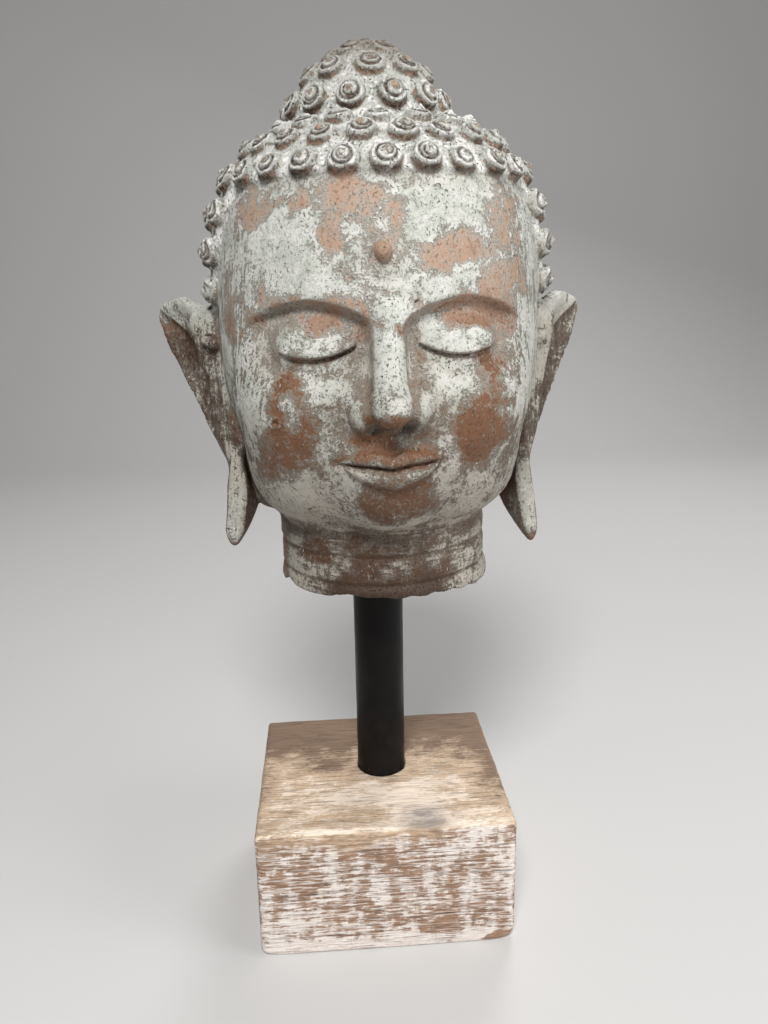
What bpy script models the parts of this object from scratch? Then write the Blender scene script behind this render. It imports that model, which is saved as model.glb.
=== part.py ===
"""A bronze buddha head on a stand: a black steel post set upright in a wooden block carries the head.

Metres, +Z up, the face towards -Y. The origin is the middle of the block's underside. The head is one
casting. It is shaped in its own frame, in millimetres, with the origin under the middle of the neck, and
is leaned and stood on the post at the end.
"""

import math

import bmesh
import bpy
import numpy as np
from mathutils import Matrix

MM = 0.001
FIT_GAP = 0.0003

# Wooden block
BLOCK_WIDTH = 0.100
BLOCK_DEPTH = 0.086
BLOCK_HEIGHT = 0.054
BLOCK_EDGE = 0.002
BLOCK_FOOT_EDGE = 0.0008
SOCKET_DEPTH = 0.025

# Steel post, a little behind the block's middle
POST_RADIUS = 0.010
POST_X = 0.001
POST_Y = 0.0026
POST_CHAMFER = 0.0006
POST_SIDES = 48

# How the head sits on the post
HEAD_FOOT = BLOCK_HEIGHT + 0.0845
HEAD_ASIDE = 0.0028
HEAD_LEAN_DEG = 0.95
POST_TOP = HEAD_FOOT + 0.025
NECK_CUT_MIDDLE = 0.003
NECK_CUT_SLOPE_DEG = 1.4
NECK_CUT_TILT_DEG = 4.5
HEAD_TRIANGLES = 8900
FACE_THINNING = 0.5
FACE_FAVOUR = 0.006
LATTICE_STEP = 1.5

# Head in millimetres: the canon's unit is one finger, and the face is three equal bands
FINGER = 8.17
CHIN = 4 * FINGER
HAIRLINE = 143.5
BAND = (HAIRLINE - CHIN) / 3
BROW = HAIRLINE - BAND
NOSE = BROW - BAND
EYE = BROW - 0.32 * BAND
MOUTH = NOSE - BAND / 3
EYE_APART = 21.5
HEAD_LOW = (-88.0, -80.0, -6.0)
HEAD_HIGH = (88.0, 82.0, 202.0)

# Hair: snail-shell curls in rings round two domes
CURL_PITCH = 12.6
RING_PITCH = 12.0
CURL_RADIUS = 4.75
HAIR_LIFT = 1.5
SKULL = dict(centre=(1.4, 6, 112), side=59, front=62, back=64, up=55, down=70, power=2.7)
USHNISHA = dict(centre=(0, 8, 160), side=30, front=30, back=30, up=34.5, down=20, power=1.8)
SKULL_FIRST_RING = 34.5

# Ears: height, then x and y of the front rail and x and y of the rear rail
EAR_TIP = 14.0
EAR_RAILS = (
    (10, 59.5, -7.5, 54.0, 2.0),
    (20, 58.5, -8.5, 50.5, 7.0),
    (34, 56.0, -9.0, 50.0, 12.0),
    (46, 54.0, -7.5, 58.0, 12.5),
    (58, 53.5, -5.5, 64.5, 13.5),
    (70, 54.0, -4.0, 69.5, 16.0),
    (84, 55.5, -3.0, 76.0, 20.0),
    (96, 57.5, -2.0, 81.0, 22.5),
    (104, 59.0, -1.0, 82.0, 23.0),
    (112, 60.0, 0.0, 76.0, 21.0),
)
EAR_CROWN = ((-0.2, 104.5), (0.0, 105.5), (0.35, 107.5), (0.75, 109.3), (1.0, 106.5), (1.2, 100.0))
EAR_CHANNEL = ((0.30, 84.0), (0.45, 91.0), (0.70, 99.5), (1.0, 107.5))
LEFT_EAR_RAISED = 2.2
LEFT_LOBE_SHORT = 2.2
RIGHT_LOBE_THIN = 0.66

# Neck
NECK_SIDE = 39.9
NECK_DEPTH = 43.0
NECK_BACK = 4.0
NECK_CREASES = (10.0, 20.5, 29.5)
NECK_STUB = 4.0


# ---- shapes as signed distances, negative inside ----


def step(low, high, t):
    """Smooth step from 0 at low to 1 at high."""
    t = np.clip((t - low) / (high - low), 0, 1)
    return t * t * (3 - 2 * t)


def bell(t):
    return np.exp(-t * t)


def join(a, b, blend):
    """Union with a fillet of about this size."""
    h = np.clip(0.5 + 0.5 * (b - a) / blend, 0, 1)
    return b + (a - b) * h - blend * h * (1 - h)


def carve(a, b, blend):
    """a with b taken out of it, the rim rounded."""
    return -join(-a, b, blend)


def egg(x, y, z, centre, side, front, back, up, down, power):
    """Rounded-box-like egg with its own reach forwards, backwards, upwards and downwards."""
    x = (x - centre[0]) / side
    y = y - centre[1]
    z = z - centre[2]
    reach = np.where(y < 0, front, back)
    rise = np.where(z > 0, up, down)
    y = y / reach
    z = np.abs(z) / rise
    rho = np.sqrt(x * x + y * y) + 1e-6
    q = (rho**power + z**power) ** (1 / power) + 1e-6
    d_rho = (rho / q) ** (power - 1) * np.sqrt((x / side) ** 2 + (y / reach) ** 2) / rho
    d_z = (z / q) ** (power - 1) / rise
    return (q - 1) / np.sqrt(d_rho**2 + d_z**2 + 1e-12)


def ball(x, y, z, centre, radii):
    """Ellipsoid."""
    x = x - centre[0]
    y = y - centre[1]
    z = z - centre[2]
    a, b, c = radii
    k0 = np.sqrt((x / a) ** 2 + (y / b) ** 2 + (z / c) ** 2) + 1e-6
    k1 = np.sqrt((x / a**2) ** 2 + (y / b**2) ** 2 + (z / c**2) ** 2) + 1e-6
    return k0 * (k0 - 1) / k1


def rod(x, y, z, a, b, radius_a, radius_b):
    """Round rod from a to b."""
    x = x - a[0]
    y = y - a[1]
    z = z - a[2]
    d = np.subtract(b, a)
    t = np.clip((x * d[0] + y * d[1] + z * d[2]) / float(d @ d), 0, 1)
    away = np.sqrt((x - t * d[0]) ** 2 + (y - t * d[1]) ** 2 + (z - t * d[2]) ** 2)
    return away - (radius_a + (radius_b - radius_a) * t)


def through(knots):
    """Smooth function through (position, value) knots."""
    at = np.array([knot[0] for knot in knots], float)
    value = np.array([knot[1] for knot in knots], float)
    slope = np.gradient(value, at)

    def function(t):
        t = np.clip(t, at[0], at[-1])
        i = np.clip(np.searchsorted(at, t, side="right") - 1, 0, len(at) - 2)
        h = at[i + 1] - at[i]
        s = (t - at[i]) / h
        start = (1 + 2 * s) * (1 - s) ** 2 * value[i] + s * (1 - s) ** 2 * h * slope[i]
        end = s * s * (3 - 2 * s) * value[i + 1] + s * s * (s - 1) * h * slope[i + 1]
        return start + end

    return function


# ---- hair ----


class CurledDome:
    """A dome of hair with curls in rings, numbered from a first ring at this arc length from the top."""

    def __init__(self, shape, first, worn):
        self.shape = shape
        self.first = first
        power = shape["power"]
        angle = np.linspace(-np.pi / 2, np.pi / 2, 721)
        rho = np.cos(angle)
        zeta = np.sin(angle)
        q = (np.abs(rho) ** power + np.abs(zeta) ** power) ** (1 / power)
        mean = (2 * shape["side"] + shape["front"] + shape["back"]) / 4
        radius = mean * rho / q
        height = np.where(zeta > 0, shape["up"], shape["down"]) * zeta / q
        arc = np.concatenate([[0], np.cumsum(np.hypot(np.diff(radius), np.diff(height)))])
        self.angle = angle
        self.arc = arc[-1] - arc
        self.rings = int((self.arc[0] - first) / RING_PITCH) + 1
        ring_arc = first + RING_PITCH * np.arange(self.rings)
        self.ring_angle = np.interp(-ring_arc, -self.arc, angle)
        self.ring_radius = np.interp(-ring_arc, -self.arc, radius)
        self.count = np.maximum(1, np.round(2 * np.pi * self.ring_radius / CURL_PITCH)).astype(int)
        self.worn = np.zeros((self.rings, self.count.max()), bool)
        for ring in range(self.rings):
            n = self.count[ring]
            turn = (np.arange(n) + 0.5 * (ring % 2)) * 2 * np.pi / n
            self.worn[ring, :n] = worn(*self.point(self.ring_angle[ring], turn))

    def point(self, angle, turn):
        shape = self.shape
        power = shape["power"]
        rho = np.cos(angle)
        zeta = np.sin(angle)
        q = (abs(rho) ** power + abs(zeta) ** power) ** (1 / power)
        y = -np.cos(turn)
        x = shape["side"] * np.sin(turn) * rho / q
        y = np.where(y < 0, shape["front"], shape["back"]) * y * rho / q
        z = (shape["up"] if zeta > 0 else shape["down"]) * zeta / q + 0 * turn
        return x + shape["centre"][0], y + shape["centre"][1], z + shape["centre"][2]

    def field(self, x, y, z):
        return egg(x, y, z, **self.shape)

    def curls(self, x, y, z):
        """Height of the curls over the dome."""
        shape = self.shape
        x = (x - shape["centre"][0]) / shape["side"]
        y = y - shape["centre"][1]
        y = y / np.where(y < 0, shape["front"], shape["back"])
        z = z - shape["centre"][2]
        z = z / np.where(z > 0, shape["up"], shape["down"])
        arc = np.interp(np.arctan2(z, np.sqrt(x * x + y * y) + 1e-9), self.angle, self.arc)
        turn = np.arctan2(x, -y) % (2 * np.pi)
        ring = np.clip(np.round((arc - self.first) / RING_PITCH).astype(int), 0, self.rings - 1)
        n = self.count[ring]
        shift = 0.5 * (ring % 2)
        place = np.round(turn / (2 * np.pi) * n - shift).astype(int) % n

        def chance(salt):
            """A fixed number from -0.5 to 0.5 for each curl."""
            return (np.sin(ring * 12.9898 + place * 78.233 + salt * 37.719) * 43758.5453) % 1.0 - 0.5

        across = (turn - (place + shift) * 2 * np.pi / n + np.pi) % (2 * np.pi) - np.pi
        across = across * self.ring_radius[ring]
        along = self.first + ring * RING_PITCH - arc
        apart = step(0.5, 0.43, np.abs(across) / CURL_PITCH) * step(0.5, 0.43, np.abs(along) / RING_PITCH)
        across = across - 0.9 * chance(1)
        along = along - 0.9 * chance(2)
        r = np.hypot(across, along) / (CURL_RADIUS * (1 + 0.14 * chance(3)))
        button = 2.7 * (1 - step(0.62, 1.10, r))
        nub = 1.5 * step(0.45, 0.0, r)
        tall = apart * (button + nub) * (1 + 0.25 * chance(5))
        return np.where(self.worn[ring, place], tall, 0.0)


def hair(x, y, z):
    """Positive inside the hair's outline: over the brow, before and behind the ears, round the nape."""
    top = z - HAIRLINE
    side = y - np.interp(z, (104, 112, 126, 144), (-3.0, -11.0, -19.0, -23.0))
    under = z - np.interp(y, (-2, 6, 16, 28), (104.0, 96.0, 60.0, 45.0))
    return -join(-top, -np.minimum(side, under), 5.0)


cap = CurledDome(SKULL, SKULL_FIRST_RING, lambda x, y, z: hair(x, y, z) > 2.6)
topknot = CurledDome(USHNISHA, 0.0, lambda x, y, z: z > 166)


# ---- ears ----

ear_rails = [through([(row[0], row[i]) for row in EAR_RAILS]) for i in (1, 2, 3, 4)]
ear_crown = through(EAR_CROWN)
ear_channel = through(EAR_CHANNEL)


def ear_place(x, y, z):
    """Where a point lies on an ear: height, distance back from the front rail, distance out, ear width."""
    z = np.where(x < 0, z - LEFT_EAR_RAISED, z)
    x = np.abs(x)
    front_x, front_y, rear_x, rear_y = (rail(z) for rail in ear_rails)
    dx = rear_x - front_x
    dy = rear_y - front_y
    length = np.hypot(dx, dy)
    along = ((x - front_x) * dx + (y - front_y) * dy) / length
    outward = ((x - front_x) * dy - (y - front_y) * dx) / length
    return z, along, outward, length


def in_channel(u, z):
    """1 in the channel down the outer side of an ear, 0 outside it."""
    return step(0.0, 3.0, ear_channel(u) - z) * step(0.34, 0.46, u) * step(1.02, 0.90, u) * step(40, 66, z)


def ear(x, y, z):
    """Both long ears: a ribbon between a front rail on the head and a rear rail that flares outwards.

    A channel runs down its outer side, under a broad band that slants from the crown to the head.
    """
    thin = np.where(x > 0, RIGHT_LOBE_THIN, 1.0)
    tip = np.where(x > 0, EAR_TIP, EAR_TIP + LEFT_LOBE_SHORT)
    z, along, outward, length = ear_place(x, y, z)
    x = np.abs(x)
    u = np.clip(along / length, 0, 1)
    crown = ear_crown(along / length)
    lobe = step(52, 38, z)
    foot = tip + 21.0 * np.abs(u - 0.12) ** 1.5 + 0.30 * np.minimum(outward * outward, 30) / thin
    bowl = step(48, 80, z) * step(0.0, 9.0, crown - z) * np.sin(np.pi * np.clip((u - 0.30) / 0.70, 0, 1))
    ridge = step(44, 60, z) * step(111, 96, z) * bell((u - 0.24) / 0.14)
    middle = 2.2 * ridge - 3.2 * bowl
    half = 2.4 + 0.5 * ridge + lobe * thin * (2.1 - 2.4 * u)
    edge = 1.5 + 1.6 * lobe * thin * (1 - u)
    a = np.abs(along - length / 2) - length / 2 + edge
    b = np.maximum(z - crown, foot - z) + edge
    c = np.maximum(outward - middle - half + 2.3 * in_channel(u, z), middle - outward - half) + edge
    outside = np.sqrt(np.maximum(a, 0) ** 2 + np.maximum(b, 0) ** 2 + np.maximum(c, 0) ** 2)
    ribbon = outside + np.minimum(np.maximum(np.maximum(a, b), c), 0) - edge
    scroll = rod(x, y, z, (60.0, -5.0, 93.0), (62.5, -3.5, 94.0), 2.2, 1.7)
    return join(ribbon, scroll, 1.0)


# ---- face ----


def lids(x, z):
    """Closed eyelids: the upper lid's rim, the slit under it and the lower lid."""
    e = (np.abs(x) - EYE_APART) / (EYE_APART / 2)
    t = z - (EYE - 3.2 + 2.3 * e * e - 0.9 * e)
    upper = 1.15 * step(-0.35, 0.35, t) * step(9, 1.0, t)
    rim = 0.55 * bell((t - 0.7) / 0.75)
    slit = -0.9 * bell((t + 0.7) / 0.65)
    lower = 0.5 * bell((t + 2.7) / 1.2)
    return step(1.22, 1.0, np.abs(e)) * (upper + rim + slit + lower)


def eye_hollow(x, z):
    """Depth of the eye hollows, whose upper edge is the brow."""
    s = np.abs(x)
    arc = BROW + 2.6 - 7.0 * ((s - 25) / 21) ** 2
    upright = step(-0.6, 3.2, arc - z) * step(EYE - 17, EYE - 3, z)
    return 5.0 * upright * step(50, 34, s) * (0.25 + 0.75 * step(2.0, 9.0, s))


def lips(x, z):
    t = x / 17.5
    inside = np.clip(1 - t * t, 0, 1)
    line = MOUTH + 1.5 * t * t - 0.7 * bell(x / 3.2)
    top = line + 5.6 * inside**0.8 * (1 - 0.20 * bell(x / 2.6)) + 0.05
    low = line - 7.0 * np.clip(1 - (x / 15.5) ** 2, 0, 1) ** 0.7 - 0.05
    a = np.clip((z - line) / (top - line), 0, 1)
    b = np.clip((line - z) / (line - low), 0, 1)
    upper = np.where(z >= line, (4 * a * (1 - a)) ** 0.55 * 2.4, 0) * inside**0.5
    lower = np.where(z < line, (4 * b * (1 - b)) ** 0.55 * 3.0, 0) * inside**0.5
    seam = -1.3 * bell((z - line) / 0.75) * step(1.18, 0.95, np.abs(t))
    groove = step(MOUTH + 4.5, MOUTH + 7.0, z) * step(NOSE + 2, NOSE - 2, z)
    return upper + lower + seam - 0.8 * bell(x / 2.4) * groove


def nose(x, y, z):
    s = np.abs(x)
    bridge = rod(x, y, z, (0, -57.0, BROW - 2), (0, -63.2, NOSE + 10), 4.4, 5.4)
    tip = ball(x, y, z, (0, -64.4, NOSE + 6.6), (6.4, 7.0, 5.8))
    wing = ball(s, y, z, (8.6, -59.0, NOSE + 5.4), (4.3, 6.6, 4.9))
    return join(join(bridge, tip, 4.0), wing, 2.0)


def face(x, y, z):
    """The bare head: skull, face, cheeks, jaw, chin, eyes, nose, lips and the urna on the forehead."""
    s = np.abs(x)
    front = step(-14, -34, y)
    at = y + front * (lids(x, z) + lips(x, z) - eye_hollow(x, z))
    d = egg(x, at, z, **SKULL)
    d = join(d, ball(x, at, z, (0, -15, 84), (50, 43.5, 57)), 14.0)
    d = join(d, ball(s, at, z, (24, -32, 74), (22, 21, 24)), 12.0)
    d = join(d, ball(s, at, z, (20, -16, 50), (27, 28, 21)), 12.0)
    d = join(d, ball(x, at, z, (0, -39, 45.5), (17, 16, 13)), 9.0)
    d = join(d, ball(x, at, z, (0, -44, 58), (21, 14.5, 14)), 8.0)
    eyes = ball(s, y + front * lids(x, z), z, (EYE_APART, -45.2, EYE + 0.5), (13.5, 9.0, 10.0))
    d = join(d, eyes, 3.0)
    d = join(d, nose(x, y, z), 4.5)
    d = carve(d, ball(s, y, z, (4.8, -61.0, NOSE + 0.2), (2.8, 4.4, 2.2)), 1.2)
    urna = ball(x, y, z, (0, -57.4, BROW + 13.5), (2.9, 3.2, 3.1))
    return join(d, urna, 0.5)


def neck(x, y, z):
    """A column with three shallow creases and a collar that stands out at the left."""
    crease = sum(bell((z - at) / 0.75) for at in NECK_CREASES)
    swell = 0.2 * np.cos((z - 15.2) * 2 * np.pi / 10.2) * step(40, 30, z)
    flare = step(11, 5, z) * (0.4 + 0.7 * bell((x - 40) / 9) * step(30, -10, y))
    r = np.sqrt((x / NECK_SIDE) ** 2 + ((y - NECK_BACK) / NECK_DEPTH) ** 2)
    return np.maximum((r - 1) * NECK_SIDE - swell - flare + 0.55 * crease, z - 60)


def head(x, y, z):
    """The whole casting, with a stub of neck to saw off and without the hole for the post."""
    s = np.abs(x)
    lift = HAIR_LIFT * step(1.0, 3.6, hair(x, y, z))
    d = face(x, y, z) - lift - cap.curls(x, y, z)
    d = join(d, topknot.field(x, y, z) - topknot.curls(x, y, z), 1.5)
    d = join(d, neck(x, y, z), 5.0)
    d = join(d, ball(s, y, z, (42, 9, 47), (12, 7.5, 18)), 6.0)
    d = join(d, ball(s, y, z, (51.5, 3.0, 78), (8, 9.5, 32)), 5.0)
    return np.maximum(join(d, ear(x, y, z), 3.0), -NECK_STUB - z)


# ---- from a signed distance to a closed mesh ----


def shifted(array, i, j, k):
    """The block of a grid array whose first corner is i, j, k, as long as the cells are."""
    x, y, z = (length - 1 for length in array.shape)
    return array[i : i + x, j : j + y, k : k + z]


CORNERS = [(i, j, k) for i in (0, 1) for j in (0, 1) for k in (0, 1)]


def lattice(field, low, high, spacing, coarse=4):
    """Values of the field on a lattice, worked out closely only in the cells near the surface."""
    wide = spacing * coarse
    cells = [int(math.ceil((high[i] - low[i]) / wide)) for i in range(3)]
    axes = [low[i] + wide * np.arange(cells[i] + 1) for i in range(3)]
    rough = field(*np.meshgrid(*axes, indexing="ij"))
    near = np.abs(rough) < 1.9 * wide
    close = np.zeros(cells, bool)
    for corner in CORNERS:
        close |= shifted(near, *corner)
    values = np.full([n * coarse + 1 for n in cells], 9.0)
    for axis in range(3):
        close = close.repeat(coarse, axis)
        rough = rough.repeat(coarse, axis)
    values[:-1, :-1, :-1] = rough[: values.shape[0] - 1, : values.shape[1] - 1, : values.shape[2] - 1]
    wanted = np.zeros(values.shape, bool)
    for corner in CORNERS:
        shifted(wanted, *corner)[...] |= close
    at = np.argwhere(wanted)
    values[wanted] = field(*(low[i] + spacing * at[:, i] for i in range(3)))
    return values


def untangled(values, fill):
    """Pinches filled: no lattice face with alternate corners inside, no cell with two opposite ones alone."""
    values = values.copy()
    while True:
        inside = values < 0
        filled = np.zeros(values.shape, bool)
        for axis in range(3):
            sheet = np.moveaxis(inside, axis, 0)
            a = sheet[:, :-1, :-1]
            b = sheet[:, 1:, :-1]
            c = sheet[:, :-1, 1:]
            d = sheet[:, 1:, 1:]
            tangled = (a == d) & (b == c) & (a != b)
            target = np.moveaxis(filled, axis, 0)
            for i in (0, 1):
                for j in (0, 1):
                    target[:, i : i + a.shape[1], j : j + a.shape[2]] |= tangled
        count = sum(shifted(inside, *corner).astype(int) for corner in CORNERS)
        for i, j, k in CORNERS[:4]:
            one = shifted(inside, i, j, k)
            other = shifted(inside, 1 - i, 1 - j, 1 - k)
            tangled = (one == other) & (count == np.where(one, 2, 6))
            for corner in CORNERS:
                shifted(filled, *corner)[...] |= tangled
        filled &= ~inside
        if not filled.any():
            return values
        values[filled] = -fill


def surface_net(values, low, spacing):
    """One point in each lattice cell that the surface crosses, and a quad round each crossed edge."""
    cells = np.array(values.shape) - 1
    weight = np.zeros(cells)
    total = np.zeros((3, *cells))
    edges = []
    for axis in range(3):
        along = np.moveaxis(values, axis, 0)
        first = along[:-1]
        second = along[1:]
        crossed = (first < 0) != (second < 0)
        others = [i for i in range(3) if i != axis]
        index = np.empty((crossed.sum(), 3), int)
        index[:, [axis, *others]] = np.argwhere(crossed)
        place = index.astype(float)
        place[:, axis] += first[crossed] / (first[crossed] - second[crossed])
        edges.append((axis, index, first[crossed] < 0))
        for back in ((0, 0), (0, 1), (1, 0), (1, 1)):
            cell = index.copy()
            cell[:, others] -= back
            key = tuple(cell.T)
            np.add.at(weight, key, 1)
            for i in range(3):
                np.add.at(total[i], key, place[:, i])
    crossed = weight > 0
    number = np.full(cells, -1)
    number[crossed] = np.arange(crossed.sum())
    points = (total[:, crossed] / weight[crossed]).T * spacing + np.array(low)
    quads = []
    for axis, index, outwards in edges:
        b = (axis + 1) % 3
        c = (axis + 2) % 3
        ring = []
        for back_b, back_c in ((0, 0), (1, 0), (1, 1), (0, 1)):
            cell = index.copy()
            cell[:, b] -= back_b
            cell[:, c] -= back_c
            ring.append(number[tuple(cell.T)])
        quad = np.stack(ring, 1)
        quad[~outwards] = quad[~outwards][:, ::-1]
        quads.append(quad)
    return points, np.concatenate(quads)


def settled(field, points, rounds, most):
    """The points moved onto the surface of the field."""
    probe = 0.15 * np.array([(1, -1, -1), (-1, -1, 1), (-1, 1, -1), (1, 1, 1)])
    for _ in range(rounds):
        slope = sum(p * field(*(points + p).T)[:, None] for p in probe) / (4 * 0.15**2)
        steep = np.maximum((slope * slope).sum(1), 0.1)
        move = -(field(*points.T) / steep)[:, None] * slope
        far = np.linalg.norm(move, axis=1, keepdims=True)
        points = points + move * np.minimum(1, most / np.maximum(far, 1e-9))
    return points


# ---- pieces ----


def material(name, colour, metallic, roughness):
    made = bpy.data.materials.new(name)
    made.use_nodes = True
    shader = made.node_tree.nodes["Principled BSDF"]
    shader.inputs["Base Color"].default_value = (*colour, 1.0)
    shader.inputs["Metallic"].default_value = metallic
    shader.inputs["Roughness"].default_value = roughness
    return made


def add_object(name, mesh, finish=None):
    made = bpy.data.objects.new(name, mesh)
    bpy.context.collection.objects.link(made)
    if finish:
        mesh.materials.append(finish)
    else:
        made.hide_render = True
        made.display_type = "WIRE"
    return made


def box_mesh(name, size, centre):
    mesh = bpy.data.meshes.new(name)
    shape = bmesh.new()
    bmesh.ops.create_cube(shape, size=1.0)
    bmesh.ops.scale(shape, vec=size, verts=shape.verts)
    bmesh.ops.translate(shape, vec=centre, verts=shape.verts)
    shape.to_mesh(mesh)
    shape.free()
    return mesh


def round_bar_mesh(name, radius, bottom, top, chamfer=0.0):
    """Upright round bar on the post's axis, with a chamfer round both ends where one is given."""
    mesh = bpy.data.meshes.new(name)
    shape = bmesh.new()
    middle = Matrix.Translation((POST_X, POST_Y, (bottom + top) / 2))
    across = dict(radius1=radius, radius2=radius, segments=POST_SIDES)
    bmesh.ops.create_cone(shape, depth=top - bottom, cap_ends=True, matrix=middle, **across)
    if chamfer:
        rims = [edge for edge in shape.edges if edge.verts[0].co.z == edge.verts[1].co.z]
        bmesh.ops.bevel(shape, geom=rims, offset=chamfer, segments=1, affect="EDGES")
    shape.to_mesh(mesh)
    shape.free()
    return mesh


def subtract(target, cutter):
    modifier = target.modifiers.new(cutter.name, "BOOLEAN")
    modifier.operation = "DIFFERENCE"
    modifier.object = cutter
    modifier.solver = "EXACT"


def build_block():
    """Block of wood with softened edges, sharper at its foot, and a blind hole for the post."""
    finish = material("whitewashed_wood", (0.48, 0.40, 0.31), 0.0, 0.8)
    size = (BLOCK_WIDTH, BLOCK_DEPTH, BLOCK_HEIGHT)
    mesh = box_mesh("wood_base", size, (0, 0, BLOCK_HEIGHT / 2))
    weights = mesh.attributes.new("bevel_weight_edge", "FLOAT", "EDGE")
    for edge in mesh.edges:
        at_foot = all(mesh.vertices[i].co.z < BLOCK_HEIGHT / 2 for i in edge.vertices)
        weights.data[edge.index].value = BLOCK_FOOT_EDGE / BLOCK_EDGE if at_foot else 1.0
    block = add_object("wood_base", mesh, finish)
    soften = block.modifiers.new("soften", "BEVEL")
    soften.limit_method = "WEIGHT"
    soften.width = BLOCK_EDGE
    soften.segments = 3
    floor = BLOCK_HEIGHT - SOCKET_DEPTH
    hole = round_bar_mesh("block_hole", POST_RADIUS + FIT_GAP, floor, BLOCK_HEIGHT + 0.01)
    subtract(block, add_object("block_hole", hole))


def build_post():
    """Round post, from the floor of the block's hole to the roof of the neck's."""
    finish = material("black_paint", (0.02, 0.02, 0.02), 0.0, 0.45)
    foot = BLOCK_HEIGHT - SOCKET_DEPTH + FIT_GAP
    bar = round_bar_mesh("post", POST_RADIUS, foot, POST_TOP - FIT_GAP, POST_CHAMFER)
    add_object("post", bar, finish)


def build_head():
    """The casting, its neck sawn off and bored upwards for the post."""
    finish = material("verdigris_bronze", (0.42, 0.38, 0.33), 0.55, 0.6)
    values = untangled(lattice(head, HEAD_LOW, HEAD_HIGH, LATTICE_STEP), 0.05)
    points, quads = surface_net(values, HEAD_LOW, LATTICE_STEP)
    points = settled(head, points, 2, 0.6 * LATTICE_STEP)
    mesh = bpy.data.meshes.new("bronze_head")
    mesh.from_pydata((points * MM).tolist(), [], quads.tolist())
    lean = Matrix.Rotation(-math.radians(HEAD_LEAN_DEG), 4, "Y")
    stand = Matrix.Translation((POST_X + HEAD_ASIDE, POST_Y, HEAD_FOOT)) @ lean
    mesh.transform(stand)
    bronze = add_object("bronze_head", mesh, finish)
    spare = bronze.vertex_groups.new(name="spare")
    coarse = np.where(hair(*points.T) > 0, 1.0, FACE_THINNING)
    for weight in (1.0, FACE_THINNING):
        spare.add(np.flatnonzero(coarse == weight).tolist(), weight, "REPLACE")
    thin = bronze.modifiers.new("facets", "DECIMATE")
    thin.vertex_group = spare.name
    thin.vertex_group_factor = FACE_FAVOUR
    thin.ratio = HEAD_TRIANGLES / (2 * len(quads))
    saw = box_mesh("neck_saw", (0.3, 0.3, 0.1), (0, 0, -0.05))
    slope = Matrix.Rotation(math.radians(NECK_CUT_SLOPE_DEG), 4, "Y")
    tilt = Matrix.Rotation(-math.radians(NECK_CUT_TILT_DEG), 4, "X")
    saw.transform(stand @ Matrix.Translation((0, 0, NECK_CUT_MIDDLE)) @ slope @ tilt)
    subtract(bronze, add_object("neck_saw", saw))
    bore = round_bar_mesh("neck_bore", POST_RADIUS + FIT_GAP, HEAD_FOOT - 0.02, POST_TOP)
    subtract(bronze, add_object("neck_bore", bore))


def main():
    for old in list(bpy.data.objects):
        bpy.data.objects.remove(old)
    build_block()
    build_post()
    build_head()


if __name__ == "__main__":
    main()
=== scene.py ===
"""A bronze buddha head on a stand, dressed for display.

The cast head, the painted post and the limed wooden block are modelled here as fine meshes over the
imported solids, with their finishes, and stood on a pale studio floor. The file is laid out as an
add-on: a panel lists one operator for each piece and one for the stage.
"""

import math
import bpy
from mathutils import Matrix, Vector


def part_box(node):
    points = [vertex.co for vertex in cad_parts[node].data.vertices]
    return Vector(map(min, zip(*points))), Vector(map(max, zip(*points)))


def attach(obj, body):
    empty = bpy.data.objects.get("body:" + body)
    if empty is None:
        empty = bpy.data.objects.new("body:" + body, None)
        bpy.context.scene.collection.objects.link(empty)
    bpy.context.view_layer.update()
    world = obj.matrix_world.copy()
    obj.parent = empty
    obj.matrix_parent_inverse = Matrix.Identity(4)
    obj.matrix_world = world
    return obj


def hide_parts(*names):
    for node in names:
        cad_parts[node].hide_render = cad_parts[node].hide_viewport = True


bl_info = {
    "name": "Buddha Head on a Stand",
    "version": (1, 0, 0),
    "blender": (4, 5, 0),
    "location": "3D View > Sidebar > Buddha Head",
    "description": "Builds a patinated bronze head on a painted post and a limed wooden block",
    "category": "Object",
}

import bmesh
import bpy
import numpy as np
from bpy.props import FloatProperty, FloatVectorProperty, IntProperty, PointerProperty
from mathutils import Matrix, Vector

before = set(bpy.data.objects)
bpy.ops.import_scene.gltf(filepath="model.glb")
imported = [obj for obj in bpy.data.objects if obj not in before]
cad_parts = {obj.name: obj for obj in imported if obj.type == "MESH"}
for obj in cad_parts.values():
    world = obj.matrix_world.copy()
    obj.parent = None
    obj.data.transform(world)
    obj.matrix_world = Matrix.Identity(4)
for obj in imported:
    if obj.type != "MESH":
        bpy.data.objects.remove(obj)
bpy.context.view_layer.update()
BLOCK_LOW, BLOCK_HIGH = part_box("wood_base")
POST_LOW, POST_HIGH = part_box("post")

MM = 0.001
POST_X = (POST_LOW[0] + POST_HIGH[0]) / 2
POST_Y = (POST_LOW[1] + POST_HIGH[1]) / 2
POST_RADIUS = (POST_HIGH[0] - POST_LOW[0]) / 2
FIT_GAP = 0.3 * MM
HALF_X, HALF_Y, TALL = (value / MM for value in BLOCK_HIGH)
CORNERS = [(i, j, k) for i in (0, 1) for j in (0, 1) for k in (0, 1)]
# Weights and factor of the sine that gives each place the same number at every run
DICE = (12.9898, 78.233, 37.719)
DICE_FACTOR = 43758.5453

# The head's own frame: millimetres, the origin under the neck, a little aside of the post's axis.
# Flaws in the face are given by x and z.
HEAD_FOOT = BLOCK_HIGH[2] + 84.5 * MM
HEAD_ASIDE = 2.8
HEAD_LEAN_DEG = 0.95
NECK_CUT_MIDDLE = 3.0
NECK_CUT_SLOPE_DEG = 1.4
NECK_CUT_TILT_DEG = 4.5
BLISTER = (-36.0, 72.0)
PIT = (9.0, 108.0)
SMALL_PIT = (11.0, 82.0)
FLAW_REACH = 4.0

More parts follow.
